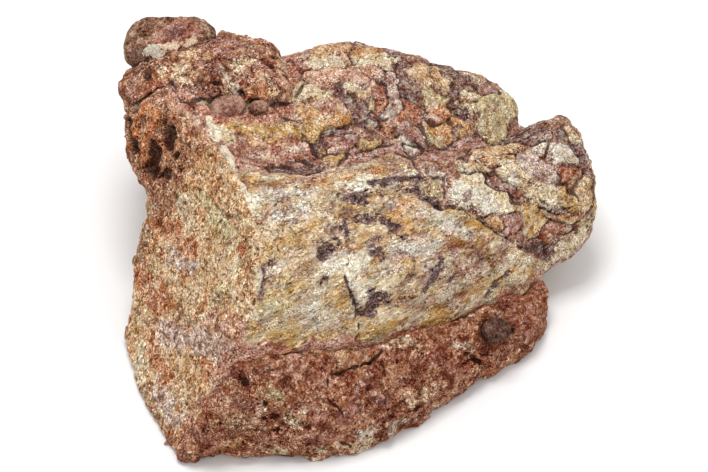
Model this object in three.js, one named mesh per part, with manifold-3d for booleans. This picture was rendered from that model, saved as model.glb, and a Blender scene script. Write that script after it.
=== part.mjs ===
// Section of a fossil dinosaur vertebra with the sandstone still on it.
// Millimetres, +Z up. The piece lies on its flat broken underside: +X runs along the vertebra from the
// spongy broken end to the narrow knob, and +Y runs back towards the arch. The origin is the middle of
// the bounding box at the level of the underside.
import * as THREE from "three";
import { mergeVertices } from "three/addons/utils/BufferGeometryUtils.js";
import Module from "manifold-3d";

const wasm = await Module();
wasm.setup();

// ---- driving dimensions --------------------------------------------------------------------------

const GAP = 0.3;                 // clearance between two pieces that touch in the real specimen
const UNDERSIDE = 0;             // height of the flat broken underside
const END_CAP_RINGS = 5;         // concentric rings that close the end of a loft

// A station is one hand-set cross-section: x0 is its place along the vertebra at the underside, lean is
// how far it moves in X for each millimetre of height, sweep is the same for each millimetre behind the
// middle line, and outline lists [y, z] round the section, starting at the bottom front, over the top
// and down the back.

// The centrum: a D-shaped broken end that leans back, a long waist and a knob at the far end.
const CENTRUM = [
  { x0: -56.5, lean: 0.55, sweep: 0.06, outline: [[-23.5, 0], [-23.5, 13], [-22, 27], [-18.5, 39],
    [-11.5, 48.5], [4, 51.5], [19, 51], [27.5, 45], [27, 31], [21, 18], [8.5, 8], [-2, 0], [-12, 0]] },
  { x0: -52.5, lean: 0.53, sweep: 0.05, outline: [[-23.5, 0], [-24, 13], [-23, 27], [-19, 39.5],
    [-10.5, 48.5], [3, 51], [17, 50], [26, 44], [25, 31], [21, 19], [15, 8], [8, 0], [-8, 0]] },
  { x0: -32, lean: 0.26, sweep: 0.04, outline: [[-24, 0], [-25.5, 11], [-25, 23], [-20, 36], [-10.5, 45],
    [1, 48], [10, 46.5], [17, 42], [20, 30], [18, 19], [15, 9], [9, 0], [-8, 0]] },
  { x0: -10, lean: 0.06, sweep: 0, outline: [[-24, 0], [-26.5, 9], [-26, 19], [-20, 32.5], [-10, 41.5],
    [0, 44.5], [7, 42.5], [12, 37], [14, 27], [14, 18], [12, 9], [8, 0], [-8, 0]] },
  { x0: 10, lean: 0, sweep: 0, outline: [[-23, 0], [-26, 7], [-25.5, 15.5], [-20, 28], [-10, 37.5],
    [-0.5, 40.5], [5, 38.5], [9, 33], [10, 25], [10, 17], [9, 9], [6, 2], [-8, 0]] },
  { x0: 27, lean: 0, sweep: 0, outline: [[-20, 3], [-23, 7.5], [-23, 12.5], [-18.5, 23], [-10, 31.5],
    [-2, 34.5], [3.5, 33], [6.5, 28], [7.5, 22], [7, 15], [5, 9], [2, 5], [-8, 3]] },
  { x0: 37, lean: 0.04, sweep: 0, outline: [[-14, 6], [-18, 8], [-18.5, 12], [-16.5, 20], [-10, 28],
    [-2.5, 31], [3, 30], [6, 26.5], [7, 21], [6.5, 15], [4, 10], [0, 6], [-8, 5]] },
  { x0: 42, lean: 0.18, sweep: 0, outline: [[-13, 6.5], [-18, 9.5], [-18.5, 14], [-16, 21], [-10, 27.5],
    [-2.5, 31], [3.5, 31], [7, 27.5], [8, 22], [7, 15.5], [4, 10.5], [-1, 7], [-8, 5.5]] },
  { x0: 47.2, lean: 0.24, sweep: -0.04, outline: [[-11.5, 10], [-14.5, 12], [-15, 15.5], [-13.5, 20],
    [-9, 25], [-3, 28.5], [3, 29], [7, 26], [7, 21.5], [5.5, 16.5], [2.5, 12.5], [-2, 10], [-7.5, 9]] },
];

// The arch: a thick plate behind the centrum, from a vuggy broken root to a blunt tip.
const ARCH = [
  { x0: -50.6, lean: 0.5, sweep: -0.22, outline: [[22, 33], [15, 37], [15, 44], [22, 49], [29, 49],
    [35.5, 45.5], [39, 39.5], [36.5, 35.5], [32.5, 32.5], [27, 31.5]] },
  { x0: -40.5, lean: 0.32, sweep: -0.06, outline: [[18, 22], [9, 30], [9, 43], [20, 49], [31, 49.5],
    [40, 46.5], [43, 39], [41.5, 31], [36, 24], [27, 19]] },
  { x0: -22, lean: 0.1, sweep: 0, outline: [[14, 14], [8, 26], [7, 42], [17, 45.5], [31, 46.5],
    [41, 43.5], [45.5, 36], [44, 25], [36, 16], [24, 12]] },
  { x0: -3, lean: 0, sweep: 0, outline: [[13, 12], [7, 24], [5.5, 38.5], [15, 42], [28, 43],
    [37.5, 40.5], [42.5, 35], [43, 25], [36, 15], [24, 11]] },
  { x0: 8, lean: 0, sweep: 0, outline: [[13, 12], [6.5, 23], [5.5, 36.5], [14, 39.5], [26, 42],
    [36, 40.6], [40.8, 35.5], [40, 26], [34, 16], [23, 12]] },
  { x0: 18, lean: 0, sweep: 0, outline: [[13, 12.5], [6, 22], [5.2, 34.5], [12.5, 38], [24, 40.5],
    [33.6, 39.6], [38.4, 34.6], [38, 26], [32, 17], [22, 13]] },
  { x0: 26, lean: 0, sweep: 0, outline: [[12, 14], [6, 21.5], [5.2, 31.8], [12, 36], [21.5, 38],
    [28.4, 36.8], [33.4, 32.4], [33, 25], [28, 18], [20, 14]] },
  { x0: 35, lean: 0, sweep: 0, outline: [[11, 15.5], [6, 21], [6, 29], [10.5, 33], [16.5, 34.6],
    [22.4, 33.8], [27, 30], [26.5, 24], [22, 18.5], [16, 16]] },
  { x0: 41, lean: 0, sweep: 0, outline: [[10, 18], [7, 21.5], [7, 26.5], [10.5, 30], [15, 31.5],
    [18.7, 31.2], [21.5, 28], [20.5, 23.5], [17.5, 20], [14, 18]] },
  { x0: 44, lean: 0, sweep: 0, outline: [[10.5, 21], [9, 23], [9, 26.5], [10.5, 28.5], [13, 29.5],
    [16, 29], [17.5, 26.5], [17, 23.5], [15, 21.5], [12.5, 20.5]] },
];

// Sandstone along the front, below the bone.
const LOWER_MATRIX = [
  { x0: -55.3, lean: 0.55, sweep: 0, outline: [[-24, 0], [-26, 9], [-25.5, 19], [-23.5, 27], [-18, 28],
    [-14, 18], [-14, 8], [-15, 0], [-20, 0]] },
  { x0: -46, lean: 0.44, sweep: 0, outline: [[-27.5, 0], [-29.5, 9], [-28.5, 19], [-24.5, 27.5],
    [-18, 28], [-14, 18], [-14, 8], [-15, 0], [-21, 0]] },
  { x0: -34, lean: 0.16, sweep: 0, outline: [[-33.5, 0], [-33.5, 10], [-30, 19.5], [-25, 26], [-18, 26],
    [-14, 17], [-13, 8], [-15, 0], [-24, 0]] },
  { x0: -22, lean: 0.04, sweep: 0, outline: [[-39, 0], [-37.5, 9], [-32.5, 17.5], [-26, 22.5], [-18, 22],
    [-13, 15], [-12, 8], [-14, 0], [-26, 0]] },
  { x0: -12, lean: 0, sweep: 0, outline: [[-38.5, 0], [-38, 8], [-33, 15.5], [-26, 20], [-18, 20],
    [-13, 14], [-12, 7], [-14, 0], [-26, 0]] },
  { x0: 0, lean: 0, sweep: 0, outline: [[-37.2, 0], [-37, 7], [-32.5, 14], [-26, 18], [-18, 17],
    [-13, 12], [-12, 7], [-14, 0], [-26, 0]] },
  { x0: 14, lean: 0, sweep: 0, outline: [[-32.3, 0], [-33.6, 6], [-31, 12], [-25.5, 15.5], [-18, 14],
    [-12, 11], [-11, 6], [-13, 0], [-24, 0]] },
  { x0: 27, lean: 0, sweep: 0, outline: [[-31.5, 0], [-32, 4.5], [-29, 9.5], [-23.5, 13], [-17, 11.5],
    [-11, 9], [-10, 5], [-12, 0], [-22, 0]] },
  { x0: 33.2, lean: 0.22, sweep: 0, outline: [[-26, 0], [-26.5, 3.5], [-24, 7.5], [-20, 10.5], [-15, 10],
    [-11, 8], [-10.5, 4], [-12, 0], [-19, 0]] },
];

// Gravelly sandstone packed behind the bone at the broken end and, lower, under the arch.
const UPPER_MATRIX = [
  { x0: -30, lean: -0.17, sweep: 0, outline: [[15, 0], [19, 14], [26, 30], [34, 41], [40, 43.5],
    [46.5, 39.5], [47, 27], [44, 13], [38, 0], [27, 0]] },
  { x0: -23, lean: -0.12, sweep: 0, outline: [[14, 0], [12, 18], [18, 36], [28, 48.5], [41, 49],
    [51.5, 43.5], [53, 28], [50, 12], [46, 0], [30, 0]] },
  { x0: -12, lean: -0.04, sweep: 0, outline: [[10, 0], [10, 18], [16, 36], [27, 48.5], [40, 48.8],
    [50, 42.8], [50, 28], [47, 12], [43, 0], [30, 0]] },
  { x0: -5.5, lean: 0, sweep: 0, outline: [[10, 0], [10, 16], [16, 34], [25, 45.5], [37, 46],
    [46.3, 41], [46, 26], [42, 12], [38, 0], [28, 0]] },
  { x0: 1, lean: 0, sweep: 0, outline: [[9, 0], [10, 14], [16, 30], [24, 38], [33, 39], [41, 35],
    [42, 24], [41, 11], [37, 0], [24, 0]] },
  { x0: 12, lean: 0, sweep: 0, outline: [[7, 0], [8, 12], [14, 22], [21, 27], [29, 28], [35, 24],
    [37, 17], [38, 8], [35, 0], [22, 0]] },
  { x0: 22, lean: 0, sweep: 0, outline: [[7, 0], [8, 10], [13, 18], [18, 23], [24, 24], [29, 20],
    [32, 14], [33, 7], [30, 0], [20, 0]] },
  { x0: 30, lean: 0, sweep: 0, outline: [[8, 0], [8, 9], [12, 16], [16, 20], [20, 20], [24, 17],
    [26, 11], [26, 6], [24, 0], [17, 0]] },
  { x0: 35, lean: 0, sweep: 0, outline: [[9, 0], [9.5, 5], [11.5, 10], [14, 13], [17, 13], [20, 11],
    [21.5, 8], [22, 4], [20, 0], [15, 0]] },
];

// Stones set in the sandstone: centre, half sizes along their own axes, turns about Z, Y and X in
// degrees, and how square their outline is (2 is an ellipsoid).
const STONES = {
  corner_cobble: { centre: [-22.8, 49.8, 43.4], half: [10.2, 5.9, 5.3], turn: [-20, 4, 12], square: 3.6 },
  flat_pebble: { centre: [-19.5, 27, 46.8], half: [4.3, 2.7, 2.3], turn: [-20, 0, 10], square: 2.3 },
  small_pebble: { centre: [-13, 24.5, 46], half: [2.5, 1.7, 1.6], turn: [-10, 0, 10], square: 2.2 },
  dark_pebble: { centre: [19, -30, 12], half: [3.5, 3.3, 3], turn: [10, 0, 20], square: 2.3 },
};

// The deep vug in the broken root of the arch.
const VUG = { centre: [-36.2, 27.5, 42], half: [1.6, 1.3, 2.6], turn: [0, 20, 0], square: 2 };

// Surface relief of each piece: height of the bumps, their width, and the seed of the pattern.
const RELIEF = {
  centrum: { height: 0.45, width: 7, seed: 11 },
  arch: { height: 0.8, width: 8, seed: 17 },
  lower_matrix: { height: 0.9, width: 6, seed: 23 },
  upper_matrix: { height: 1.1, width: 6, seed: 37 },
  stone: { height: 0.3, width: 4, seed: 51 },
};

// Points round a section, rings along the piece, and how round its corners are (0.5 is a free curve,
// 0 straight edges).
const DETAIL = {
  centrum: { around: 36, along: 30, round: 0.4 },
  arch: { around: 26, along: 22, round: 0.25 },
  lower_matrix: { around: 22, along: 26, round: 0.2 },
  upper_matrix: { around: 24, along: 20, round: 0.2 },
  stone: { around: 14, along: 8 },
};

// ---- shaping helpers -----------------------------------------------------------------------------

// A fixed pseudo-random number from 0 to 1 for a point of a whole-number grid.
function gridValue(i, j, k, seed) {
  const s = Math.sin(i * 127.1 + j * 311.7 + k * 74.7 + seed * 53.3) * 43758.5453;
  return s - Math.floor(s);
}

// Smooth noise from -1 to 1 in space.
function noise(x, y, z, seed) {
  const cell = [Math.floor(x), Math.floor(y), Math.floor(z)];
  const part = [x - cell[0], y - cell[1], z - cell[2]].map((t) => t * t * (3 - 2 * t));
  let sum = 0;
  for (let corner = 0; corner < 8; corner += 1) {
    const bit = [corner & 1, (corner >> 1) & 1, (corner >> 2) & 1];
    const weight = bit.reduce((w, b, axis) => w * (b ? part[axis] : 1 - part[axis]), 1);
    sum += weight * gridValue(cell[0] + bit[0], cell[1] + bit[1], cell[2] + bit[2], seed);
  }
  return 2 * sum - 1;
}

// Two octaves of noise, the second half as wide and half as high.
function relief(point, { height, width, seed }) {
  const [x, y, z] = [point.x / width, point.y / width, point.z / width];
  return height * (noise(x, y, z, seed) + 0.5 * noise(2 * x, 2 * y, 2 * z, seed + 1));
}

// Closed skin through hand-set stations: one rail curve runs along the piece through each outline point,
// and each ring is a closed curve through the rails. Both ends are closed by rings that shrink to a point.
function loftGeometry(stations, { around, along, round }) {
  const rails = stations[0].outline.map((_, index) => new THREE.CatmullRomCurve3(
    stations.map(({ x0, lean, sweep, outline }) => {
      const [y, z] = outline[index];
      return new THREE.Vector3(x0 + lean * z + sweep * Math.max(y, 0), y, z);
    }), false, "catmullrom", round));
  const rings = [];
  for (let i = 0; i <= along; i += 1) {
    const knots = rails.map((rail) => rail.getPoint(i / along));
    const ring = new THREE.CatmullRomCurve3(knots, true, "catmullrom", round);
    rings.push(Array.from({ length: around }, (_, j) => ring.getPoint(j / around)));
  }
  return skinGeometry([...capRings(rings[0]).reverse(), ...rings, ...capRings(rings[along])]);
}

// Rings shrinking from an end ring to its middle; the last one is the middle point itself.
function capRings(ring) {
  const middle = ring.reduce((sum, p) => sum.add(p), new THREE.Vector3()).divideScalar(ring.length);
  const caps = [];
  for (let i = 1; i < END_CAP_RINGS; i += 1) {
    caps.push(ring.map((p) => p.clone().lerp(middle, i / END_CAP_RINGS)));
  }
  caps.push([middle]);
  return caps;
}

// Triangles between successive rings; a ring of one point closes the skin.
function skinGeometry(rings) {
  const positions = [];
  const starts = rings.map((ring) => {
    const start = positions.length / 3;
    ring.forEach((p) => positions.push(p.x, p.y, Math.max(p.z, UNDERSIDE)));
    return start;
  });
  const faces = [];
  for (let r = 0; r + 1 < rings.length; r += 1) {
    const [a, b] = [rings[r], rings[r + 1]];
    const count = Math.max(a.length, b.length);
    for (let j = 0; j < count; j += 1) {
      const next = (j + 1) % count;
      const a0 = starts[r] + (a.length === 1 ? 0 : j);
      const a1 = starts[r] + (a.length === 1 ? 0 : next);
      const b0 = starts[r + 1] + (b.length === 1 ? 0 : j);
      const b1 = starts[r + 1] + (b.length === 1 ? 0 : next);
      if (a0 !== a1) faces.push(a0, b0, a1);
      if (b0 !== b1) faces.push(a1, b0, b1);
    }
  }
  const geometry = new THREE.BufferGeometry();
  geometry.setAttribute("position", new THREE.Float32BufferAttribute(positions, 3));
  geometry.setIndex(faces);
  return geometry;
}

// A rounded stone: a sphere squared off along its own axes, turned and set in place.
function stoneGeometry({ centre, half, turn, square }, { around, along }) {
  const sphere = new THREE.SphereGeometry(1, around, along);
  sphere.deleteAttribute("normal");
  sphere.deleteAttribute("uv");
  const geometry = mergeVertices(sphere);
  const position = geometry.attributes.position;
  const point = new THREE.Vector3();
  const angles = turn.map((degrees) => THREE.MathUtils.degToRad(degrees));
  const rotation = new THREE.Euler(angles[2], angles[1], angles[0], "ZYX");
  for (let i = 0; i < position.count; i += 1) {
    point.fromBufferAttribute(position, i);
    const size = (Math.abs(point.x) ** square + Math.abs(point.y) ** square
      + Math.abs(point.z) ** square) ** (1 / square);
    point.divideScalar(size).multiply(new THREE.Vector3(...half));
    point.applyEuler(rotation).add(new THREE.Vector3(...centre));
    position.setXYZ(i, point.x, point.y, point.z);
  }
  return geometry;
}

// Moves every vertex off the underside along its normal by what push says.
function displace(geometry, push) {
  geometry.computeVertexNormals();
  const position = geometry.attributes.position;
  const normal = geometry.attributes.normal;
  const point = new THREE.Vector3();
  const direction = new THREE.Vector3();
  for (let i = 0; i < position.count; i += 1) {
    point.fromBufferAttribute(position, i);
    if (point.z > UNDERSIDE) {
      direction.fromBufferAttribute(normal, i);
      point.addScaledVector(direction, push(point));
      position.setXYZ(i, point.x, point.y, Math.max(point.z, UNDERSIDE));
    }
  }
  geometry.deleteAttribute("normal");
  return geometry;
}

function roughened(geometry, pattern) {
  return displace(geometry, (point) => relief(point, pattern));
}

// The same skin grown outwards by the clearance, to cut its bed in a neighbour.
function grown(geometry, distance) {
  geometry.computeVertexNormals();
  const position = geometry.attributes.position;
  const normal = geometry.attributes.normal;
  const bigger = geometry.clone();
  for (let i = 0; i < position.count; i += 1) {
    bigger.attributes.position.setXYZ(i,
      position.getX(i) + distance * normal.getX(i),
      position.getY(i) + distance * normal.getY(i),
      position.getZ(i) + distance * normal.getZ(i));
  }
  geometry.deleteAttribute("normal");
  return bigger;
}

function toSolid(geometry) {
  const clean = geometry.clone();
  clean.deleteAttribute("normal");
  clean.deleteAttribute("uv");
  const merged = mergeVertices(clean, 1e-5);
  const triVerts = new Uint32Array(merged.index.array);
  const vertProperties = new Float32Array(merged.attributes.position.array);
  return new wasm.Manifold(new wasm.Mesh({ numProp: 3, vertProperties, triVerts }));
}

function toGeometry(solid) {
  const mesh = solid.getMesh();
  const geometry = new THREE.BufferGeometry();
  geometry.setAttribute("position", new THREE.BufferAttribute(new Float32Array(mesh.vertProperties), 3));
  geometry.setIndex(new THREE.BufferAttribute(new Uint32Array(mesh.triVerts), 1));
  return geometry;
}

// The largest separate body of a solid.
function mainBody(solid) {
  return solid.decompose().reduce((best, body) => (body.volume() > best.volume() ? body : best));
}

function material(colour, roughness) {
  return new THREE.MeshStandardMaterial({ color: colour, roughness, metalness: 0 });
}

// ---- the pieces ----------------------------------------------------------------------------------

function makeBone() {
  const centrum = roughened(loftGeometry(CENTRUM, DETAIL.centrum), RELIEF.centrum);
  const arch = roughened(loftGeometry(ARCH, DETAIL.arch), RELIEF.arch);
  return {
    solid: toSolid(centrum).add(toSolid(arch)).subtract(toSolid(stoneGeometry(VUG, DETAIL.stone))),
    bed: toSolid(grown(centrum, GAP)).add(toSolid(grown(arch, GAP))),
  };
}

function makeStone(name) {
  const skin = roughened(stoneGeometry(STONES[name], DETAIL.stone), RELIEF.stone);
  return { solid: toSolid(skin), bed: toSolid(grown(skin, GAP)) };
}

function makeMatrix(stations, detail, pattern, beds) {
  const skin = roughened(loftGeometry(stations, detail), pattern);
  return mainBody(beds.reduce((solid, bed) => solid.subtract(bed), toSolid(skin)));
}

const bone = makeBone();
const cobble = makeStone("corner_cobble");
const flatPebble = makeStone("flat_pebble");
const smallPebble = makeStone("small_pebble");
const darkPebble = makeStone("dark_pebble");
const stoneBeds = [cobble.bed, flatPebble.bed, smallPebble.bed];

const pieces = {
  vertebra_bone: [mainBody(bone.solid.subtract(flatPebble.bed).subtract(smallPebble.bed)
    .subtract(darkPebble.bed).subtract(cobble.bed)), material(0xc2a273, 0.85)],
  lower_matrix: [makeMatrix(LOWER_MATRIX, DETAIL.lower_matrix, RELIEF.lower_matrix,
    [bone.bed, darkPebble.bed]), material(0x9c6450, 0.95)],
  upper_matrix: [makeMatrix(UPPER_MATRIX, DETAIL.upper_matrix, RELIEF.upper_matrix,
    [bone.bed, ...stoneBeds]), material(0x94604c, 0.95)],
  corner_cobble: [cobble.solid, material(0x8d6350, 0.8)],
  flat_pebble: [flatPebble.solid, material(0x7c5550, 0.8)],
  small_pebble: [smallPebble.solid, material(0x8a5f55, 0.8)],
  dark_pebble: [darkPebble.solid, material(0x5d4440, 0.75)],
};

// ---- the assembled specimen ----------------------------------------------------------------------

const group = new THREE.Group();
for (const [name, [solid, surface]] of Object.entries(pieces)) {
  const mesh = new THREE.Mesh(toGeometry(solid), surface);
  mesh.name = name;
  group.add(mesh);
}

const bounds = new THREE.Box3().setFromObject(group);
const middle = bounds.getCenter(new THREE.Vector3());
group.position.set(-middle.x, -middle.y, -bounds.min.z);

export default group;
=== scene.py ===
# Looks for the section of fossil dinosaur vertebra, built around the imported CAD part.
# Each CAD node is copied, made finer where it is seen, and given relief and a procedural material.
# Lengths are millimetres unless a comment says otherwise; Blender itself works in metres.
import math

import bmesh
import bpy
import numpy as np
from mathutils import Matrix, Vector
from mathutils.bvhtree import BVHTree


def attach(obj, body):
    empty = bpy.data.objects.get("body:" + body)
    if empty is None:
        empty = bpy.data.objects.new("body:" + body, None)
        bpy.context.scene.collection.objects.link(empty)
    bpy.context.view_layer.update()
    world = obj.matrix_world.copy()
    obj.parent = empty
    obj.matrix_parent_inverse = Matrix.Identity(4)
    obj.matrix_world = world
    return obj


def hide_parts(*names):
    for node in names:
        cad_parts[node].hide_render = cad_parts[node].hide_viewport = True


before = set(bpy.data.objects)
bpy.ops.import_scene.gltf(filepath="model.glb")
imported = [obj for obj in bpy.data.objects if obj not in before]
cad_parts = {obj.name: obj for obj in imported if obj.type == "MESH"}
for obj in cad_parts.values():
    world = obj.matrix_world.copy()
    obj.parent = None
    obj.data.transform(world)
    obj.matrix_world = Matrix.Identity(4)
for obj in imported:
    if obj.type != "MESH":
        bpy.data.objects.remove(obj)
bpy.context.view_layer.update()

MM = 0.001

VIEW_AZIMUTH = -25.0             # the camera's turn about Z, in degrees
VIEW_ELEVATION = 55.0            # the camera's height above the floor, in degrees
VIEW_TARGET = (0.4, -8.3, 20.3)  # what the camera looks at
VIEW_DISTANCE = 3000.0
VIEW_WIDTH = 155.8               # width of the picture at the target
SENSOR_WIDTH = 36.0

SKY_STRENGTH = 0.80
KEY_PLACE = (0.0, 0.14, 0.98)    # metres
KEY_AIM = (0.0, 0.0, 0.02)       # metres
KEY_SIZE = 0.34                  # metres
KEY_POWER = 5.1                  # watts

FLOOR_HALF = 2.0                 # metres
FLOOR_LEVEL = -0.0001            # metres

WELD_DISTANCE = 1e-6             # metres
BONE_NET = (1.5, 6, 2)           # net width, rounds of smoothing, times that seen faces are split
SANDSTONE_NET = (0.86, 10, 2)
STONE_NET = (0.34, 10, 0)
FACING_LIMIT = -0.15             # faces turned further from the camera than this count as not seen
SIGHT_START = 2.0                # a line of sight starts this far off the surface
LINE_REACH = 1.2                 # the mask of a line falls from 1 at its edge to 0 this far off

SPECULAR = 0.12
ALBEDO = (0.9, 0.9, 0.9, 1.0)    # every tone is multiplied by this before it is lit
DISPLAY_GAMMA = 2.2
DARKEST = (0.06, 0.05, 0.05)     # fine detail makes nothing darker than this, as the eye sees it


# ---- camera, light and floor ---------------------------------------------------------------------

def toward_camera():
    """The unit vector from the piece to the camera."""
    turn = math.radians(VIEW_AZIMUTH)
    rise = math.radians(VIEW_ELEVATION)
    return Vector((math.sin(turn) * math.cos(rise), -math.cos(turn) * math.cos(rise), math.sin(rise)))


def picture_up():
    """The unit vector that points up in the picture."""
    turn = math.radians(VIEW_AZIMUTH)
    rise = math.radians(VIEW_ELEVATION)
    return np.array((-math.sin(turn) * math.sin(rise), math.cos(turn) * math.sin(rise), math.cos(rise)))


def link(thing):
    """Puts an object in the scene."""
    bpy.context.scene.collection.objects.link(thing)


def add_camera():
    data = bpy.data.cameras.new("camera")
    data.sensor_width = SENSOR_WIDTH
    data.lens = SENSOR_WIDTH * VIEW_DISTANCE / VIEW_WIDTH
    camera = bpy.data.objects.new("camera", data)
    camera.location = (Vector(VIEW_TARGET) + toward_camera() * VIEW_DISTANCE) * MM
    camera.rotation_euler = (math.radians(90.0 - VIEW_ELEVATION), 0.0, math.radians(VIEW_AZIMUTH))
    link(camera)
    bpy.context.scene.camera = camera


def add_sky():
    """Even white light from all round."""
    world = bpy.data.worlds.new("studio")
    world.use_nodes = True
    background = world.node_tree.nodes["Background"]
    background.inputs["Color"].default_value = (1.0, 1.0, 1.0, 1.0)
    background.inputs["Strength"].default_value = SKY_STRENGTH
    bpy.context.scene.world = world
    bpy.context.scene.view_settings.view_transform = "Standard"


def add_key_light():
    """A square soft light high up and behind, for the shadow in front of the piece."""
    data = bpy.data.lights.new("key", "AREA")
    data.size = KEY_SIZE
    data.energy = KEY_POWER
    light = bpy.data.objects.new("key", data)
    light.location = KEY_PLACE
    aim = Vector(KEY_AIM) - Vector(KEY_PLACE)
    light.rotation_euler = aim.to_track_quat("-Z", "Y").to_euler()
    link(light)


# ---- random fields -------------------------------------------------------------------------------
# Every field is worked out from the place and a fixed seed, so every run gives the same values.

def lattice(i, j, k, seed):
    """A random number from 0 to 1 for every whole-number place (i, j, k)."""
    h = (i * 73856093) ^ (j * 19349663) ^ (k * 83492791) ^ (seed * 2654435761)
    h = (h ^ (h >> 15)) & 0xFFFFFFFF
    h = (h * 2246822519) & 0xFFFFFFFF
    h = h ^ (h >> 13)
    h = (h * 3266489917) & 0xFFFFFFFF
    h = h ^ (h >> 16)
    return h / 4294967295.0


def noise(p, size, seed):
    """A smooth field from -1 to 1 with bumps about size wide: one number, or one for each axis."""
    q = p / np.asarray(size, float) + 0.37 * seed
    base = np.floor(q).astype(np.int64)
    f = q - base
    f = f * f * f * (f * (f * 6.0 - 15.0) + 10.0)
    total = np.zeros(len(p))
    for di in (0, 1):
        wx = f[:, 0] if di else 1.0 - f[:, 0]
        for dj in (0, 1):
            wy = f[:, 1] if dj else 1.0 - f[:, 1]
            for dk in (0, 1):
                wz = f[:, 2] if dk else 1.0 - f[:, 2]
                total += wx * wy * wz * lattice(base[:, 0] + di, base[:, 1] + dj, base[:, 2] + dk, seed)
    return 2.0 * total - 1.0


def fractal(p, size, seed, octaves=3):
    """Noise with finer noise added, each finer layer half as wide and half as strong."""
    size = np.asarray(size, float)
    total = np.zeros(len(p))
    for octave in range(octaves):
        total += 0.5 ** octave * noise(p, size * 0.5 ** octave, seed + 7 * octave)
    return total * 1.4 / (2.0 - 0.5 ** (octaves - 1))


def cells(p, size, seed):
    """Distances to the nearest and next scattered point, in cell widths, and the nearest's number."""
    q = p / np.asarray(size, float)
    base = np.floor(q).astype(np.int64)
    first = np.full(len(p), 9.0)
    second = np.full(len(p), 9.0)
    number = np.zeros(len(p))
    for di in (-1, 0, 1):
        for dj in (-1, 0, 1):
            for dk in (-1, 0, 1):
                c = base + np.array((di, dj, dk))
                d2 = np.zeros(len(p))
                for axis in range(3):
                    d2 += (c[:, axis] + lattice(c[:, 0], c[:, 1], c[:, 2], seed + axis) - q[:, axis]) ** 2
                d = np.sqrt(d2)
                nearer = d < first
                second = np.where(nearer, first, np.minimum(second, d))
                number = np.where(nearer, lattice(c[:, 0], c[:, 1], c[:, 2], seed + 5), number)
                first = np.where(nearer, d, first)
    return first, second, number


def warped(p, amount, size, seed):
    """Points pushed about by noise, to make straight patterns irregular."""
    push = [noise(p, size, seed + axis) for axis in range(3)]
    return p + amount * np.stack(push, axis=1)


def step(x, low, high):
    """0 below low, 1 above high, and a smooth rise between them; low may be above high for a fall."""
    t = np.clip((x - low) / (high - low), 0.0, 1.0)
    return t * t * (3.0 - 2.0 * t)


def dots(p, size, seed, rim, share):
    """1 inside round dots in some of the cells: rim is the outer and inner end of their soft edge, in
    cell widths, and share the limits that a cell's number has to pass."""
    near, _, number = cells(p, size, seed)
    return step(near, *rim) * step(number, *share)


def distance(p, line):
    """Distance from each point to a line through the given places."""
    line = [np.array(place, float) for place in line]
    if len(line) == 1:
        return np.linalg.norm(p - line[0], axis=1)
    best = np.full(len(p), 1e9)
    for a, b in zip(line[:-1], line[1:]):
        along = b - a
        t = np.clip((p - a) @ along / (along @ along), 0.0, 1.0)
        best = np.minimum(best, np.linalg.norm(p - a - t[:, None] * along, axis=1))
    return best


def patches(p, table, ragged=0.7, size=2.2, seed=400, soft=0.35):
    """1 inside the patches of a table of (radius, places), 0 outside, with ragged edges."""
    edge = ragged * fractal(p, size, seed)
    result = np.zeros(len(p))
    for radius, line in table:
        result = np.maximum(result, 1.0 - step(distance(p, line) + edge, radius - soft, radius + soft))
    return result


def nearest_zone(p, table):
    """The tone of the nearest zone of a table of (tone, radius, places), and how far off its edge is."""
    closest = np.full(len(p), 1e9)
    tint = np.ones((len(p), 4))
    for tone, radius, line in table:
        away = distance(p, line) - radius
        nearer = away < closest
        closest = np.where(nearer, away, closest)
        tint[nearer] = colour(TONES[tone])
    return tint, closest


def nearest_plate(p, table):
    """The nearest plate's tone and level, and how far off it and its border with the next one are."""
    closest = np.full(len(p), 1e9)
    second = np.full(len(p), 1e9)
    level = np.zeros(len(p))
    tint = np.ones((len(p), 4))
    for height, parts in table:
        part_tint, away = nearest_zone(p, parts)
        nearer = away < closest
        second = np.where(nearer, closest, np.minimum(second, away))
        closest = np.where(nearer, away, closest)
        level = np.where(nearer, height, level)
        tint[nearer] = part_tint[nearer]
    return tint, level, closest, 0.5 * (second - closest)


def inward(away, reach):
    """0.5 at the edge of a patch, more inside it, and 0 half of reach outside."""
    return 0.5 - away / reach


def nearness(away):
    """1 at the edge of a line, falling to 0 at the end of its reach."""
    return 1.0 - away / LINE_REACH


# ---- tones ---------------------------------------------------------------------------------------
# Red, green and blue from 0 to 255, as the eye sees them.

# Tones that the tables name.
TONES = {
    "white": (238, 230, 210), "cream": (232, 212, 176), "olive": (204, 184, 138), "tan": (214, 178, 134),
    "ochre": (206, 168, 106), "orange": (208, 158, 106), "rust": (186, 112, 68), "brown": (156, 112, 80),
    "red": (166, 92, 66), "rose": (166, 108, 90), "pink": (200, 150, 126), "lilac": (204, 180, 168),
    "grey": (180, 160, 142), "ash": (210, 200, 184), "mauve": (170, 122, 114), "purple": (138, 96, 90),
    "plum": (100, 68, 68),
}

# Outer bone, from its ground to the marks on it.
SKIN_TAN = (204, 181, 146)
SKIN_OCHRE = (208, 170, 112)
SKIN_PINK = (186, 149, 126)
BROKEN_DARK = (146, 104, 94)
BROKEN_PALE = (192, 144, 120)
BIT_CREAM = (240, 226, 198)
BIT_BROWN = (160, 116, 98)
BIT_ORANGE = (208, 160, 98)
BIT_ASH = (196, 184, 166)
COAT_DARK = (170, 110, 90)
COAT_PALE = (206, 154, 128)
SMUDGE = (146, 102, 90)
FLAKE_RIM = (156, 116, 104)
FLAKE_DARK = (78, 56, 58)
FLAKE_PALE = (116, 86, 82)
CREST_PALE_AND_HIGHLIGHT = (250, 240, 214)
# Cracks and plate borders: their dark fill, with painted shade along the plate edges.
LINE_DARK = (64, 38, 36)

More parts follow.
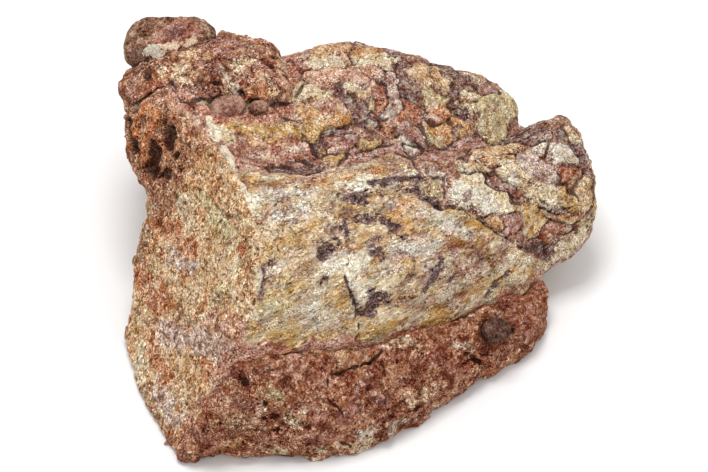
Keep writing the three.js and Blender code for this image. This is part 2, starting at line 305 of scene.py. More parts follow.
# Spongy bone.
SPONGE_ORANGE = (208, 154, 104)
SPONGE_TAN = (204, 176, 138)
SPONGE_CREAM = (234, 214, 178)
SPONGE_BROWN = (160, 104, 72)
ROOT_DARK = (126, 72, 52)
ROOT_PALE = (172, 106, 64)
SHEET_ORANGE = (204, 124, 68)
STRUT_CREAM = (248, 230, 192)
# Painted shade in the small pores, and in the pores and hollows of the relief.
SMALL_PORE_SHADE = (88, 50, 36)
PORE_SHADE_BROWN = (100, 58, 36)
PORE_SHADE_DARK = (64, 30, 20)

# Sandstone: its two grounds and the painted shade in its holes and hollows, and what both sandstones share.
LOWER_STONE = ((156, 100, 78), (180, 126, 94), (56, 28, 18))
UPPER_STONE = ((152, 106, 88), (196, 150, 116), (50, 26, 18))
GRAIN_STOPS = (
    (0.50, (140, 92, 84)), (0.60, (196, 134, 108)), (0.70, (150, 98, 78)),
    (0.80, (212, 158, 112)), (0.90, (232, 198, 158)), (1.0, (244, 224, 194)),
)
# Painted shade: these tones multiply the sandstone's colour, darker where its relief lies low.
PAINTED_SHADE_STOPS = ((0.10, (190, 160, 146)), (0.45, (240, 234, 230)), (0.70, (255, 255, 255)))
CHIP_CREAM = (236, 198, 160)
SANDSTONE_LINE = (54, 28, 18)

# The stones: dark and light; then the painted shade in their pits, and the floor.
COBBLE = ((112, 76, 58), (150, 110, 84))
FLAT_PEBBLE = ((146, 104, 90), (178, 138, 118))
SMALL_PEBBLE = ((118, 80, 66), (156, 116, 94))
DARK_PEBBLE = ((74, 48, 40), (106, 74, 62))
STONE_PIT_SHADE = (62, 38, 30)
FLOOR_STOPS = ((0.3, (253, 253, 253)), (0.7, (255, 255, 255)))


def colour(tone):
    """Linear colour of a tone."""
    parts = [c / 255.0 for c in tone]
    return tuple(c / 12.92 if c <= 0.04045 else ((c + 0.055) / 1.055) ** 2.4 for c in parts) + (1.0,)


# ---- where things are ----------------------------------------------------------------------------
# A place is (x, y, z) in millimetres in the frame of the CAD part. The places were picked in the enlarged
# photograph and carried along the line of sight onto the CAD, mostly to half a millimetre.

# Broken faces: X at the foot, the lean back with height, and the turn behind the middle of the piece.
END_PLANE = (-55.1, 0.55, 0.06)
ROOT_PLANE = (-49.2, 0.5, -0.22)
TURN_START = -9.2        # the Y behind which a broken face turns
END_FACING_X = -0.876    # the way the broken end faces
END_FACING_Z = 0.48

# Lines seen from above, as (x, y): the groove in front of the arch, and the front of the knob.
GROOVE = ((-24.0, -1.0), (-8.5, -4.5), (1.5, -4.2), (13.5, -5.5), (21.0, -7.5), (35.0, -7.0))
KNOB = ((13.0, -4.0), (15.0, -12.0), (17.0, -18.5), (22.0, -20.5), (25.0, -23.0), (27.0, -24.5),
        (31.0, -27.0), (34.0, -28.0))

# Cracks: half width, depth, then the places each one runs through.
CRACKS = [
    (0.24, 0.8, [(-10.5, -27, 36), (-10.5, -28.5, 34), (-9.5, -30.5, 31), (-10, -32, 27)]),
    (0.12, 0.5, [(-10, -32, 27), (-10.5, -34, 23), (-12, -35.5, 20)]),
    (0.10, 0.5, [(1.5, 20.5, 42.5), (0.5, 18, 43), (-5, 15, 44.5), (-6, 12.5, 44), (-6, 8.5, 43.5),
                 (-5, 6.5, 43), (-6, 4.5, 42.5), (-6.5, 2.5, 42.5)]),
    (0.12, 0.6, [(22, 20, 39.5), (22, 15, 40), (22, 11.5, 39.5), (21, 8, 39)]),
    (0.14, 0.7, [(-19, 0.5, 47), (-15.5, -1, 45.5), (-12.5, -3, 45.5), (-9.5, -4.5, 44.5), (-4.5, -4, 42.5),
                 (1.5, -1.5, 39.5), (6, -0.5, 39), (13.5, -0.5, 37.5), (19, -2.5, 35.5), (21, -5, 35.5),
                 (29, -3.5, 31.5), (35, -6, 31)]),
    (0.06, 0.3, [(-21.5, -11.5, 49), (-10.5, -9, 45.5)]),
    (0.10, 0.7, [(14.5, -16.5, 37.5), (15, -18, 36.5), (17, -20, 35), (18.5, -19, 35), (21.5, -20, 33),
                 (22.5, -22, 31.5), (25, -23, 29.5), (27, -24.5, 27), (31, -27, 22.5), (34, -27.5, 19)]),
    (0.10, 0.5, [(20, -13.5, 37), (17.5, -18.5, 35.5)]),
    (0.10, 0.6, [(32.5, -14.5, 32), (35, -18, 29.5), (39, -20, 27), (42, -23, 24), (45.5, -23.5, 23.5)]),
    (0.08, 0.5, [(36.5, -20, 28), (39.5, -22, 25), (41.5, -23, 24)]),
]

# Dark purple patches where the outer skin has flaked off: radius, then places.
STAINS = [
    (0.6, [(-15, -21, 43), (-9, -21.5, 40.5)]),
    (1.4, [(-14, -22.5, 41), (-12, -22.5, 41)]),
    (0.8, [(-6, -18, 42), (-7, -21, 40)]),
    (1.3, [(-3.5, -12.5, 43), (0.5, -13.5, 42)]),
    (0.6, [(4, -12.5, 41.5), (14, -11.5, 39.5)]),
    (0.8, [(3.5, -10.5, 42), (9.5, -11, 40.5)]),
    (0.7, [(9.5, -12.5, 40), (14.5, -12.5, 39)]),
    (0.8, [(4.5, -14.5, 41)]),
    (1.0, [(11, -14, 39.5), (14, -16.5, 37.5), (16.5, -19, 36)]),
    (0.7, [(-3, -17.5, 41.5), (1, -18.5, 40), (5, -20.5, 38), (3, -21.5, 38)]),
    (0.4, [(3.5, -23, 37), (7.5, -24, 35)]),
    (1.0, [(-2.5, -24, 36.5), (-1, -25, 35.5)]),
    (0.5, [(-10.5, -30, 32), (-10, -31, 30)]),
    (0.9, [(-10, -31, 30), (-9, -32, 27), (-6.5, -32, 26.5)]),
    (1.7, [(-5, -30.5, 30), (-6, -31.5, 27.5)]),
    (1.3, [(-2.5, -31, 28)]),
    (0.8, [(12, -28, 29), (8.5, -30.5, 26.5), (7, -31.5, 25)]),
    (0.5, [(20, -26.5, 28.5), (22, -28.5, 24.5)]),
    (0.6, [(14, -30.5, 24.5)]),
    (0.5, [(27.5, -30, 18.5), (22, -32, 17)]),
    (0.6, [(-29.5, -24.5, 44.5), (-31, -27, 40.5)]),
    (0.4, [(-16.5, -27.5, 37.5), (-14.5, -26.5, 37.5)]),
    (0.5, [(-24, -21.5, 46), (-26.5, -23.5, 45)]),
]

# Broad parts of the centrum: tone, radius, then places.
ZONES = [
    ("ash", 1.2, [(-25.5, -9.5, 51), (-11.5, -9, 45.5)]),
    ("ash", 1.3, [(-22.5, -15, 48), (-15, -14, 46)]),
    ("white", 0.9, [(-4, -10, 43.5), (8, -11, 41), (19.5, -12.5, 37.5)]),
    ("white", 2.0, [(-12, -24.5, 39), (-6, -24.5, 36.5), (-8, -28, 34.5), (-8.5, -29.5, 32.5)]),
    ("ash", 0.9, [(-9, -22.5, 39.5), (-9.5, -25.5, 37)]),
    ("ash", 1.2, [(1.5, -25, 35), (11.5, -25.5, 32)]),
    ("cream", 1.6, [(-1.5, -29, 31), (2, -28, 31.5)]),
    ("ash", 2.0, [(15.5, -20.5, 35), (20, -24.5, 30)]),
    ("orange", 1.8, [(9, -17.5, 38.5), (6, -20, 38)]),
    ("orange", 0.8, [(-7, -8, 44.5), (0, -8.5, 43)]),
    ("brown", 1.0, [(-23.5, -5.5, 50.5), (-11.5, -7.5, 45.5)]),
    ("ochre", 1.0, [(-18.5, -18, 45.5), (-18, -19.5, 44.5)]),
    ("ochre", 0.9, [(-4, -15, 42.5)]),
    ("cream", 1.2, [(-15, -19.5, 43.5), (-10, -20, 42)]),
    ("tan", 1.6, [(-2, -20.5, 39.5), (0, -22.5, 38)]),
    ("ochre", 1.4, [(-25, -25.5, 42), (-22.5, -27, 39.5)]),
    ("lilac", 1.0, [(-21.5, -29.5, 36), (-18, -29.5, 35.5)]),
    ("white", 0.5, [(-22, -31, 32.5), (-18.5, -30.5, 33)]),
    ("orange", 0.9, [(-16, -30.5, 32.5)]),
    ("ochre", 1.9, [(-33.5, -30.5, 33), (-19, -33.5, 24), (-13, -33.5, 24.5)]),
    ("ash", 0.9, [(-31.5, -30, 35)]),
    ("ochre", 1.4, [(-10, -35, 20.5), (-5, -34.5, 20), (1, -34.5, 18.5), (8.5, -35, 16.5)]),
    ("ash", 0.7, [(-14.5, -32.5, 27), (-12, -32.5, 26.5)]),
    ("cream", 0.7, [(-9.5, -33, 25.5), (-2.5, -33, 24)]),
    ("brown", 1.8, [(17.5, -25, 30), (23.5, -29.5, 22.5), (13, -31, 24.5)]),
    ("brown", 1.2, [(2, -32, 24.5), (18, -32.5, 18)]),
    ("rust", 0.6, [(-23, -14, 49)]),
    ("rust", 0.6, [(6.5, -7, 41)]),
    ("rust", 0.4, [(-24.5, -19, 48)]),
    ("orange", 0.5, [(-13, -16, 45)]),
    ("rust", 0.5, [(-28, -12.5, 50)]),
    ("olive", 1.1, [(17.5, -13.5, 37.5), (16, -16.5, 37)]),
    ("orange", 0.7, [(28, -23.5, 28)]),
    ("mauve", 0.8, [(17, -26.5, 30), (16, -28.5, 27)]),
    ("brown", 0.8, [(23, -26, 27), (27, -27, 22.5)]),
    ("red", 0.5, [(21, -25, 29.5)]),
    ("red", 0.5, [(26, -25.5, 25.5)]),
    ("tan", 0.8, [(2, -27, 32.5), (4.5, -27, 32.5)]),
    ("tan", 1.8, [(-24, -18, 47.5), (-20, -23, 43)]),
    ("olive", 1.6, [(-30, -28, 38.5), (-26, -29.5, 36)]),
    ("grey", 1.2, [(8, -30, 27.5), (14, -28.5, 28)]),
    ("cream", 0.9, [(-23.5, 9, 49.5), (-24, 5, 50)]),
]

# Plates of outer bone on the arch and on the knob: level, then the parts of the plate as zones are given.
PLATES = [
    # the band between the crest and the arch, and the groove
    (0.3, [("ochre", 1.4, [(-20, 12.5, 48), (-12.5, 10.5, 45), (-7, 7, 43.5)]),
           ("orange", 0.6, [(-17, 8.5, 45.5), (-9, 5.5, 43.5)]),
                            ("cream", 1.2, [(-21.5, 10.5, 48), (-22, 8, 48)]),
           ("rose", 3.4, [(-23, 4, 50), (-15.5, 3.5, 44), (-8.5, 3, 43)]),
           ("rose", 1.6, [(-25, 0, 51), (-19, 0, 48)])]),
    (0.5, [("brown", 0.8, [(-11.5, 1.5, 43), (-8.5, 0.5, 42)])]),
    (-0.5, [("plum", 0.5, [(-15, 0, 45), (-12, -2, 44.5), (-6.5, -3, 43)])]),
    (0.5, [("ochre", 1.0, [(-3, -0.5, 40.5), (0.5, -0.5, 40)])]),
    (0.5, [("mauve", 1.4, [(0.5, 3, 40.5), (4, 2, 40)])]),
    (-0.4, [("plum", 0.5, [(-4.5, 3, 42), (-2, 4.5, 42), (2.5, 6.5, 40.5), (10, 5, 40)])]),
    (0.4, [("ochre", 0.6, [(6.5, 0.5, 39), (9, 1, 38.5)])]),
    (0.2, [("tan", 0.5, [(8.5, -4.5, 40), (11, -4, 38.5)])]),
    (-0.1, [("mauve", 0.9, [(1, -2, 40.5), (7.5, -1, 38.5), (12.5, -2, 37)])]),
    (0.5, [("ash", 0.5, [(15.5, -1.5, 37), (18, -2, 36)])]),
    (0.3, [("mauve", 1.2, [(17, 1.5, 38), (17.5, -0.5, 37), (21, -0.5, 36)])]),
    (0.2, [("olive", 1.2, [(22, 0, 36), (25, -1.5, 34)]),
           ("orange", 0.9, [(23.5, 1.5, 36), (27, -1.5, 33.5)])]),
    (-0.2, [("mauve", 0.9, [(20, -7, 37), (27, -5.5, 33), (35, -4.5, 29)])]),
    # the arch
    (0.7, [("cream", 1.4, [(0, 16.5, 43), (2.5, 15, 42.5)]),
           ("pink", 1.3, [(3.5, 13, 42), (5.5, 10.5, 41.5)]),
           ("orange", 1.4, [(-3, 12, 43), (0, 9, 41.5), (4.5, 8.5, 41)]),
           ("ochre", 1.2, [(-4, 6.5, 43), (0.5, 7.5, 41)])]),
    (0.5, [("olive", 1.2, [(-3, 17, 44), (-0.5, 18.5, 43)])]),
    (0.5, [("cream", 1.0, [(-1.5, 22.5, 43.5), (0.5, 23, 42)])]),
    (0.6, [("orange", 1.5, [(8.5, 26.5, 41), (13.5, 25.5, 40.5)]),
           ("cream", 1.2, [(6, 24, 41.5), (9.5, 21.5, 41.5)])]),
    (0.5, [("orange", 1.5, [(17, 23, 40), (20, 22.5, 39.5)]),
           ("cream", 1.2, [(21, 19.5, 40), (16, 20.5, 40.5)])]),
    (0.2, [("pink", 1.4, [(4.5, 19.5, 42.5), (10, 19, 41.5), (15.5, 17.5, 41)])]),
    (0.6, [("cream", 0.9, [(10, 15.5, 41), (11.5, 14.5, 41)])]),
    (0.4, [("plum", 2.3, [(8, 13, 41.5), (9.5, 10, 41), (11, 6.5, 40)])]),
    (0.3, [("tan", 0.9, [(12, 11, 41), (12.5, 8.5, 40.5)])]),
    (-0.3, [("red", 0.9, [(16.5, 11, 40.5), (14, 8, 40.5)])]),
    (0.3, [("lilac", 1.0, [(20, 13, 40.5), (19, 8, 40), (15, 5.5, 39.5)])]),
    (-0.4, [("plum", 1.0, [(23.5, 21.5, 38.5), (24, 17, 38.5), (22.5, 12, 39), (22.5, 8.5, 38.5)])]),
    (0.0, [("red", 1.4, [(20, 7, 39), (20, 4.5, 38.5), (14.5, 4, 39)])]),
    (0.3, [("tan", 1.1, [(28, 17.5, 37), (26.5, 13.5, 37.5)])]),
    (0.6, [("olive", 1.5, [(26.5, 7.5, 37), (28.5, 5.5, 36)]),
           ("rust", 0.8, [(25.5, 3.5, 36), (28, 3.5, 35.5)])]),
    (0.2, [("tan", 0.9, [(30, 14, 36.5), (31, 9.5, 36.5)])]),
    (0.0, [("plum", 2.0, [(34, 12.5, 35), (36, 8.5, 35)])]),
    (-0.3, [("plum", 0.7, [(32, 8.5, 36), (34, 8, 35.5)])]),
    (0.1, [("mauve", 1.3, [(38.5, 7.5, 34), (42.5, 4.5, 31.5)])]),
    (0.3, [("cream", 0.8, [(38, 10, 34), (35, 15, 35)])]),
    (0.4, [("cream", 0.8, [(34.5, 6, 35), (36, 5.5, 34.5)])]),
    (0.4, [("cream", 0.8, [(33.5, 3, 34.5), (35.5, 3, 34)])]),
    (-0.4, [("plum", 0.8, [(29.5, 4.5, 35.5), (31.5, 2.5, 35)])]),
    (0.5, [("olive", 2.4, [(38, 2.5, 33), (43, 3, 30.5), (39, -0.5, 30), (36.5, -1.5, 30.5)])]),
    (0.6, [("orange", 0.7, [(28.5, 1.5, 34.5), (30.5, -0.5, 33)])]),
    # the knob
    (0.6, [("white", 2.2, [(22.5, -16.5, 35), (29, -20, 30)]),
           ("cream", 1.8, [(25.5, -14, 34.5), (31.5, -21.5, 28.5)])]),
    (0.6, [("white", 1.6, [(36, -15, 31.5)]), ("cream", 1.6, [(35, -13, 32), (37.5, -16, 30.5)])]),
    (0.4, [("cream", 1.8, [(39, -18, 28.5), (42, -21.5, 25.5)])]),
    (-0.3, [("purple", 0.9, [(30.5, -15.5, 32.5), (33.5, -20, 29)])]),
    (0.4, [("cream", 1.2, [(26.5, -12, 35), (29.5, -12, 34)])]),
    (0.3, [("orange", 0.7, [(33.5, -11, 33), (36.5, -11, 32)])]),
    (0.1, [("lilac", 1.6, [(40.5, -12, 31), (44, -16.5, 29)])]),
    (0.2, [("tan", 1.3, [(32, -7.5, 33), (40, -8, 30.5)]), ("brown", 1.0, [(42, -10, 31)])]),
    (0.3, [("rust", 1.1, [(46.5, -17.5, 28.5), (48.5, -19.5, 27.5)])]),
    (0.3, [("ochre", 0.8, [(45.5, -21, 26), (47.5, -23, 24)])]),
    (0.4, [("tan", 1.3, [(50.5, -20.5, 25.5), (49.5, -23, 23)])]),
    (0.3, [("tan", 1.0, [(53, -23, 20.5), (51, -24.5, 18.5)])]),
    (0.0, [("plum", 2.4, [(41.5, -5, 28.5), (47, -6, 31)])]),
    (0.3, [("brown", 1.1, [(50.5, -5.5, 30.5), (53, -5.5, 30)])]),
    (0.0, [("plum", 1.0, [(50, -8.5, 31), (50.5, -10, 30.5)])]),
    (0.4, [("orange", 0.8, [(53, -8.5, 30)]), ("cream", 1.0, [(53, -11.5, 29.5)])]),
    (0.4, [("ash", 0.9, [(47, -12.5, 31), (51, -15, 29.5)])]),
    (0.3, [("ash", 0.6, [(45, -11, 31)])]),
    (-0.1, [("plum", 1.2, [(52.5, -14, 29), (54, -16, 27)])]),
    (-0.1, [("plum", 0.5, [(53, -19, 25.5), (52.5, -22, 22.5)])]),
    (0.4, [("ochre", 1.6, [(36, -22.5, 25.5), (37, -24.5, 22.5)])]),
    (-0.1, [("red", 1.3, [(42, -25.5, 20.5), (37.5, -26.5, 19)])]),
    (0.3, [("cream", 1.4, [(48.5, -26, 18.5), (42, -27.5, 13.5)])]),
    (-0.3, [("plum", 0.9, [(37, -27, 18), (39.5, -27, 14.5)])]),
    (0.2, [("mauve", 0.9, [(30.5, -23.5, 26.5), (32, -25, 24.5)])]),
    (0.3, [("orange", 0.7, [(27, -23.5, 28)])]),
    (0.2, [("tan", 0.8, [(40, -23, 24), (47.5, -25, 21)])]),
]
# Tones of the random plates on the sides that the photograph hides.
HIDDEN_PLATES = ("tan", "cream", "pink", "olive", "orange", "brown", "purple")

# Parts of the broken end of the centrum.
END_ZONES = [
    ("cream", 1.6, [(-34.5, 6, 38), (-35, 5.5, 33.5)]),
    ("rust", 1.6, [(-39, 9, 27), (-37, -2.5, 31)]),
    ("lilac", 1.6, [(-39, -1, 28), (-38.5, -6, 29)]),
    ("olive", 1.9, [(-31.5, 2, 41), (-31, -7, 43), (-30.5, -13, 44)]),
    ("rust", 0.9, [(-30.5, -13, 44.5), (-30, -16, 45)]),
    ("tan", 2.4, [(-35, -12, 36.5), (-34, -25, 38.5)]),
    ("rust", 2.7, [(-46, 5, 15), (-44.5, -6, 18)]),
    ("lilac", 2.2, [(-46.5, -11, 15), (-42.5, -22.5, 23.5), (-40, -29.5, 27.5)]),
    ("brown", 1.1, [(-43.5, -12, 20.5), (-43, -17, 22)]),
    ("orange", 1.8, [(-46, -22.5, 16), (-46, -31.5, 15.5)]),
    ("rust", 0.8, [(-44.5, -25, 20), (-44.5, -27.5, 19)]),
    ("cream", 0.9, [(-52, -7, 5.5), (-53, -13.5, 4)]),
    ("lilac", 1.7, [(-51.5, -19, 6), (-51.5, -27.5, 6)]),
    ("brown", 1.3, [(-53.5, -16, 2.5), (-54.5, -25, 1.5)]),
    ("rust", 1.4, [(-53.5, -29.5, 3), (-52, -34, 3)]),
    ("brown", 1.5, [(-41, 9.5, 23.5), (-44, 6.5, 18.5)]),
    ("ochre", 1.2, [(-50.5, -2.5, 7)]),
    ("tan", 2.0, [(-38.5, -11.5, 29), (-41, -11.5, 25)]),
    ("pink", 1.6, [(-40, -20, 27.5), (-36.5, -28.5, 33)]),
    ("rust", 1.0, [(-49.5, -9.5, 10), (-49.5, -17, 9.5)]),
    ("cream", 1.2, [(-42, -31.5, 23.5)]),
    ("orange", 1.6, [(-30.5, 5, 43), (-29.5, 0, 45)]),
    ("tan", 1.2, [(-27.5, -1, 49), (-27.5, -6.5, 50)]),
    ("tan", 1.4, [(-33.5, 1, 36.5), (-34, -4.5, 36.5)]),
    ("orange", 2.2, [(-31.5, 8.5, 43), (-28.5, 7.5, 46.5)]),
    ("olive", 1.4, [(-37, -17, 31), (-33, -18, 40)]),
    ("brown", 2.4, [(-34, 17, 40), (-38, 14, 32)]),
]

# Where flaking is thick.
FLAKY = [
    (9.0, [(-4, -12, 43), (12, -12, 40), (6, -20, 38)]),
    (7.0, [(33, 10, 36), (24, 14, 39)]),
    (8.0, [(38, -22, 26), (50, -12, 30), (36, -26, 20)]),
    (6.0, [(20, -28, 25), (28, -28, 22)]),
]

# The crest between the broken end and the flank, from the groove down to the foot.
CREST = [(-24, 15, 49.5), (-24, 6.5, 50.5), (-26, -1.5, 51.5), (-25, -9, 51), (-27.5, -14, 50.5),
         (-28.5, -19, 48), (-30, -23, 45.5), (-32, -26.5, 41), (-33.5, -28.5, 37)]

# Where the sandstone meets the front of the bone.
FRONT_SEAM = [(-38, -32.5, 26.5), (-31.5, -33, 28), (-25, -34, 25), (-13, -34.5, 23), (-11, -36, 19.5),
              (-1.5, -35.5, 18.5), (11, -35.5, 16), (24, -34, 14.5), (36, -29, 11.5)]

# Where the sandstone smears over the lower edge of the broken end.
LOW_SEAM = [(-39, -32, 28), (-42, -32.5, 21.5), (-46, -33.5, 15), (-50, -34, 8), (-52.5, -33, 3)]

# Where the gravelly sandstone meets the arch.
UPPER_SEAM = [(2.5, 29, 40), (1.5, 24.5, 41.5), (-1, 21.5, 43), (-4.5, 18, 45.5), (-6, 14.5, 44.5),
              (-11.5, 13, 46.5), (-16.5, 14.5, 47), (-20, 16, 48.5), (-23, 17, 49.5), (-26, 21, 49.5),
              (-29, 25.5, 48), (-31.5, 29, 46.5), (-34, 31.5, 44)]

# Hollows in the torn root of the arch, and the sheets left between them.
ROOT_HOLES = [
    (1.7, [(-32, 17.5, 46), (-32.5, 16.5, 43.5)]),
    (1.6, [(-35, 19, 40), (-37.5, 16.5, 34.5)]),
    (1.5, [(-33.5, 30.5, 45), (-35, 29, 43)]),
    (1.8, [(-38, 28, 39), (-38, 24, 37)]),
    (0.9, [(-32, 20, 47), (-32.5, 21.5, 45.5)]),
]
ROOT_SHEETS = [
    (1.2, [(-33, 22, 47), (-34.5, 21.5, 42), (-37, 19, 36)]),
    (0.9, [(-33.5, 25.5, 46.5), (-35.5, 26, 41.5), (-37.5, 24, 37)]),
    (0.7, [(-33, 19, 46), (-34, 18, 42.5)]),
]

# The pink-brown skin of sandstone left in the groove between crest and arch, and on the lower flank.
COATS = [
    (1.6, [(-32, -32.5, 28.5), (-28, -34.5, 25.5), (-21.5, -33.5, 24), (-14, -34.5, 21.5)]),
    (1.2, [(-24, 14.5, 49), (-15, 13.5, 46.5), (-9, 12.5, 45)]),
]

# Cracks in the lower sandstone: half width, depth, then places.
LOWER_CRACKS = [
    (0.20, 0.8, [(-6.5, -37.5, 18.5), (-8.5, -38.5, 18), (-10, -38.5, 17)]),
    (0.16, 0.7, [(-10, -38.5, 17), (-12.5, -38.5, 17.5), (-15, -38.5, 18), (-17, -39, 18.5),
                 (-19.5, -39.5, 19)]),
    (0.14, 0.6, [(-20.5, -39.5, 19), (-21, -40.5, 18.5), (-20.5, -41.5, 17.5)]),
    (0.10, 0.5, [(-7.5, -40, 17), (-8, -42, 15.5)]),
    (0.12, 0.5, [(-21.5, -47, 6), (-18.5, -48, 3.5)]),
    (0.10, 0.5, [(2, -39, 16.5), (1.5, -40.5, 15.5)]),
    (0.16, 0.6, [(12, -42.5, 9.5), (15.5, -42, 9), (18.5, -42, 7.5)]),
    (0.12, 0.5, [(-22, -42.5, 16), (-20, -45, 13), (-19.5, -46, 12)]),
    (0.12, 0.5, [(-4.5, -47, 7), (-1, -46.5, 6)]),
]

# Hollows in the lower sandstone: radius, then places.
LOWER_HOLLOWS = [
    (0.5, [(13, -42, 10), (15, -43, 7.5)]),
    (0.5, [(23, -39.5, 10.5), (25.5, -39, 9)]),
    (0.5, [(22, -38, 13)]),
]

# Where the lower sandstone is loose and gritty; elsewhere it is compact.
LOWER_GRITTY = [
    (6.0, [(-44, -32, 16), (-38, -39, 11), (-31, -42, 10)]),
    (2.5, [(-40, -32, 23), (-36, -37, 19)]),
    (2.2, [(12, -42, 10), (15, -43, 6)]),
    (2.0, [(-8, -46, 8), (2, -45, 8)]),
]

# Parts of the lower and of the upper sandstone: tone, radius, then places.
LOWER_ZONES = [
    ("cream", 1.2, [(-31.5, -41, 13), (-29.5, -42.5, 12.5)]),
    ("olive", 1.0, [(-34.5, -38, 20.5), (-32, -39, 18.5)]),
    ("pink", 1.8, [(-28, -34.5, 25.5), (-24, -38, 21), (-19, -41, 17)]),
    ("rose", 1.8, [(-28.5, -44, 6.5), (-23.5, -46.5, 8)]),
    ("white", 1.5, [(-16.5, -47.5, 6), (-7, -47.5, 4)]),
    ("cream", 1.1, [(-27.5, -44.5, 3), (-20, -48, 3.5), (-12, -48, 3)]),
    ("ochre", 1.0, [(-45.5, -37, 4), (-41.5, -38.5, 6)]),
    ("olive", 0.8, [(-36, -41.5, 3.5), (-32, -43, 3)]),
    ("mauve", 1.5, [(-20, -45.5, 12.5), (-15.5, -45, 11.5)]),
    ("cream", 1.3, [(-4, -46, 9), (1.5, -45, 9)]),
    ("orange", 1.0, [(14.5, -43, 5.5), (16.5, -43, 5.5)]),
    ("rose", 1.4, [(5, -41.5, 14), (10, -41.5, 12.5)]),
    ("white", 0.5, [(9, -40, 14), (13, -40.5, 13)]),
    ("cream", 0.6, [(-1.5, -36.5, 18), (1, -36, 18)]),
    ("plum", 0.6, [(-11, -45, 11.5), (-9.5, -45, 11)]),
    ("lilac", 0.5, [(-15, -42.5, 14.5), (-12.5, -43, 14.5)]),
    ("brown", 2.0, [(-45, -35.5, 14), (-37.5, -40, 8.5)]),
    ("rust", 1.2, [(-47, -32, 14), (-46, -34.5, 15)]),
    ("tan", 0.6, [(-20, -39.5, 19), (-15.5, -35.5, 20.5)]),
    ("rust", 1.2, [(11.5, -42.5, 10), (16, -43, 8)]),
    ("rose", 2.0, [(26, -34, 13.5), (28.5, -39.5, 8)]),
]

UPPER_ZONES = [
    ("cream", 1.3, [(-25, 30, 49), (-23, 27, 49.5)]),
    ("mauve", 1.8, [(-16, 29, 49.5), (-12.5, 29.5, 49.5)]),
    ("cream", 1.0, [(-12.5, 24.5, 49.5), (-10, 26, 48.5)]),
    ("red", 1.5, [(-30.5, 31.5, 47), (-30, 27, 47)]),
    ("pink", 1.1, [(-9.5, 22, 48.5), (-7.5, 23, 48)]),
    ("plum", 0.7, [(-20.5, 24.5, 49.5), (-20, 21.5, 49.5)]),
    ("white", 0.8, [(-16.5, 25, 49.5), (-15.5, 22, 49.5)]),
    ("white", 0.6, [(-15, 19.5, 48), (-14, 18.5, 47.5)]),
    ("rust", 1.2, [(-13, 17.5, 47.5), (-9.5, 18, 47.5)]),
    ("purple", 1.2, [(-18, 26, 49.5), (-19.5, 29, 49.5)]),
    ("mauve", 2.4, [(-18, 34, 48), (-10, 32, 46)]),
    ("orange", 1.2, [(-26, 22, 49), (-23, 19, 49)]),
    ("tan", 1.0, [(-22, 33, 48.5), (-19, 32, 49)]),
    ("brown", 1.4, [(-28, 34, 47), (-25, 35, 47)]),
]

# Hollows in the upper sandstone: radius, then places.
UPPER_HOLLOWS = [
    (0.9, [(-18.5, 23, 49.5)]),
    (0.8, [(-14, 19, 48.5)]),
    (0.7, [(-17, 15, 47.5)]),
    (1.2, [(-30, 33, 46)]),
]

# Marks on the cobble: radius, places and tone.
COBBLE_MARKS = (
    (3.4, [(-23, 39, 48), (-18.5, 39.5, 48.5)], (168, 112, 94)),
    (1.3, [(-21.5, 39.5, 48.7), (-19, 39.5, 48.7)], (98, 58, 54)),
    (0.7, [(-24.5, 38, 48.2), (-21.5, 36.8, 48), (-18, 36.3, 47.7)], (232, 206, 174)),
    (1.5, [(-27.3, 38.3, 47.6), (-25.8, 37.9, 47.8)], (216, 210, 190)),
    (1.6, [(-30, 38, 45), (-29, 41, 46), (-30, 35, 43)], (112, 80, 70)),
)


# ---- meshes --------------------------------------------------------------------------------------

def welded_mesh(node):
    """A copy of a CAD node's mesh with its corners joined, so that it is one closed skin."""
    mesh = node.data.copy()
    mesh.materials.clear()
    bm = bmesh.new()
    bm.from_mesh(mesh)
    bmesh.ops.remove_doubles(bm, verts=bm.verts, dist=WELD_DISTANCE)
    bm.to_mesh(mesh)
    bm.free()
    return mesh


def even_mesh(node, width, rounds):
    """The node's shape as an even net of small quads, with its facets smoothed away."""
    holder = bpy.data.objects.new("holder", welded_mesh(node))
    link(holder)
    remesh = holder.modifiers.new("remesh", "REMESH")
    remesh.mode = "VOXEL"
    remesh.voxel_size = width * MM
    smooth = holder.modifiers.new("smooth", "SMOOTH")
    smooth.factor = 0.5
    smooth.iterations = rounds
    graph = bpy.context.evaluated_depsgraph_get()
    mesh = bpy.data.meshes.new_from_object(holder.evaluated_get(graph))
    bpy.data.objects.remove(holder)
    return mesh


def sight_tree():
    """Everything in the CAD part, for finding what the camera sees."""
    corners = []
    faces = []
    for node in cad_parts.values():
        start = len(corners)
        corners += [v.co.copy() for v in node.data.vertices]
        faces += [tuple(start + i for i in polygon.vertices) for polygon in node.data.polygons]
    return BVHTree.FromPolygons(corners, faces)


def seen(tree, place, normal, toward):
    """True if the camera sees this place on the surface."""
    if normal.dot(toward) < FACING_LIMIT:
        return False
    return tree.ray_cast(place + toward * SIGHT_START * MM, toward)[0] is None


def split_seen_faces(mesh, tree, times):
    """Splits the faces that the camera sees in four, several times over, and evens out the net."""
    toward = toward_camera()
    bm = bmesh.new()
    bm.from_mesh(mesh)
    for _ in range(times):
        bm.normal_update()
        edges = set()
        for face in bm.faces:
            if seen(tree, face.calc_center_median(), face.normal, toward):
                edges.update(face.edges)
        bmesh.ops.subdivide_edges(bm, edges=list(edges), cuts=1, use_grid_fill=True)
    bmesh.ops.smooth_vert(bm, verts=bm.verts, factor=0.5, use_axis_x=True, use_axis_y=True, use_axis_z=True)
    bm.to_mesh(mesh)
    bm.free()


def coordinates(mesh):
    """Vertex places in millimetres and vertex normals."""
    count = len(mesh.vertices)
    places = np.zeros(count * 3, np.float32)
    normals = np.zeros(count * 3, np.float32)
    mesh.vertices.foreach_get("co", places)
    mesh.vertices.foreach_get("normal", normals)
    return places.reshape(-1, 3).astype(float) / MM, normals.reshape(-1, 3).astype(float)


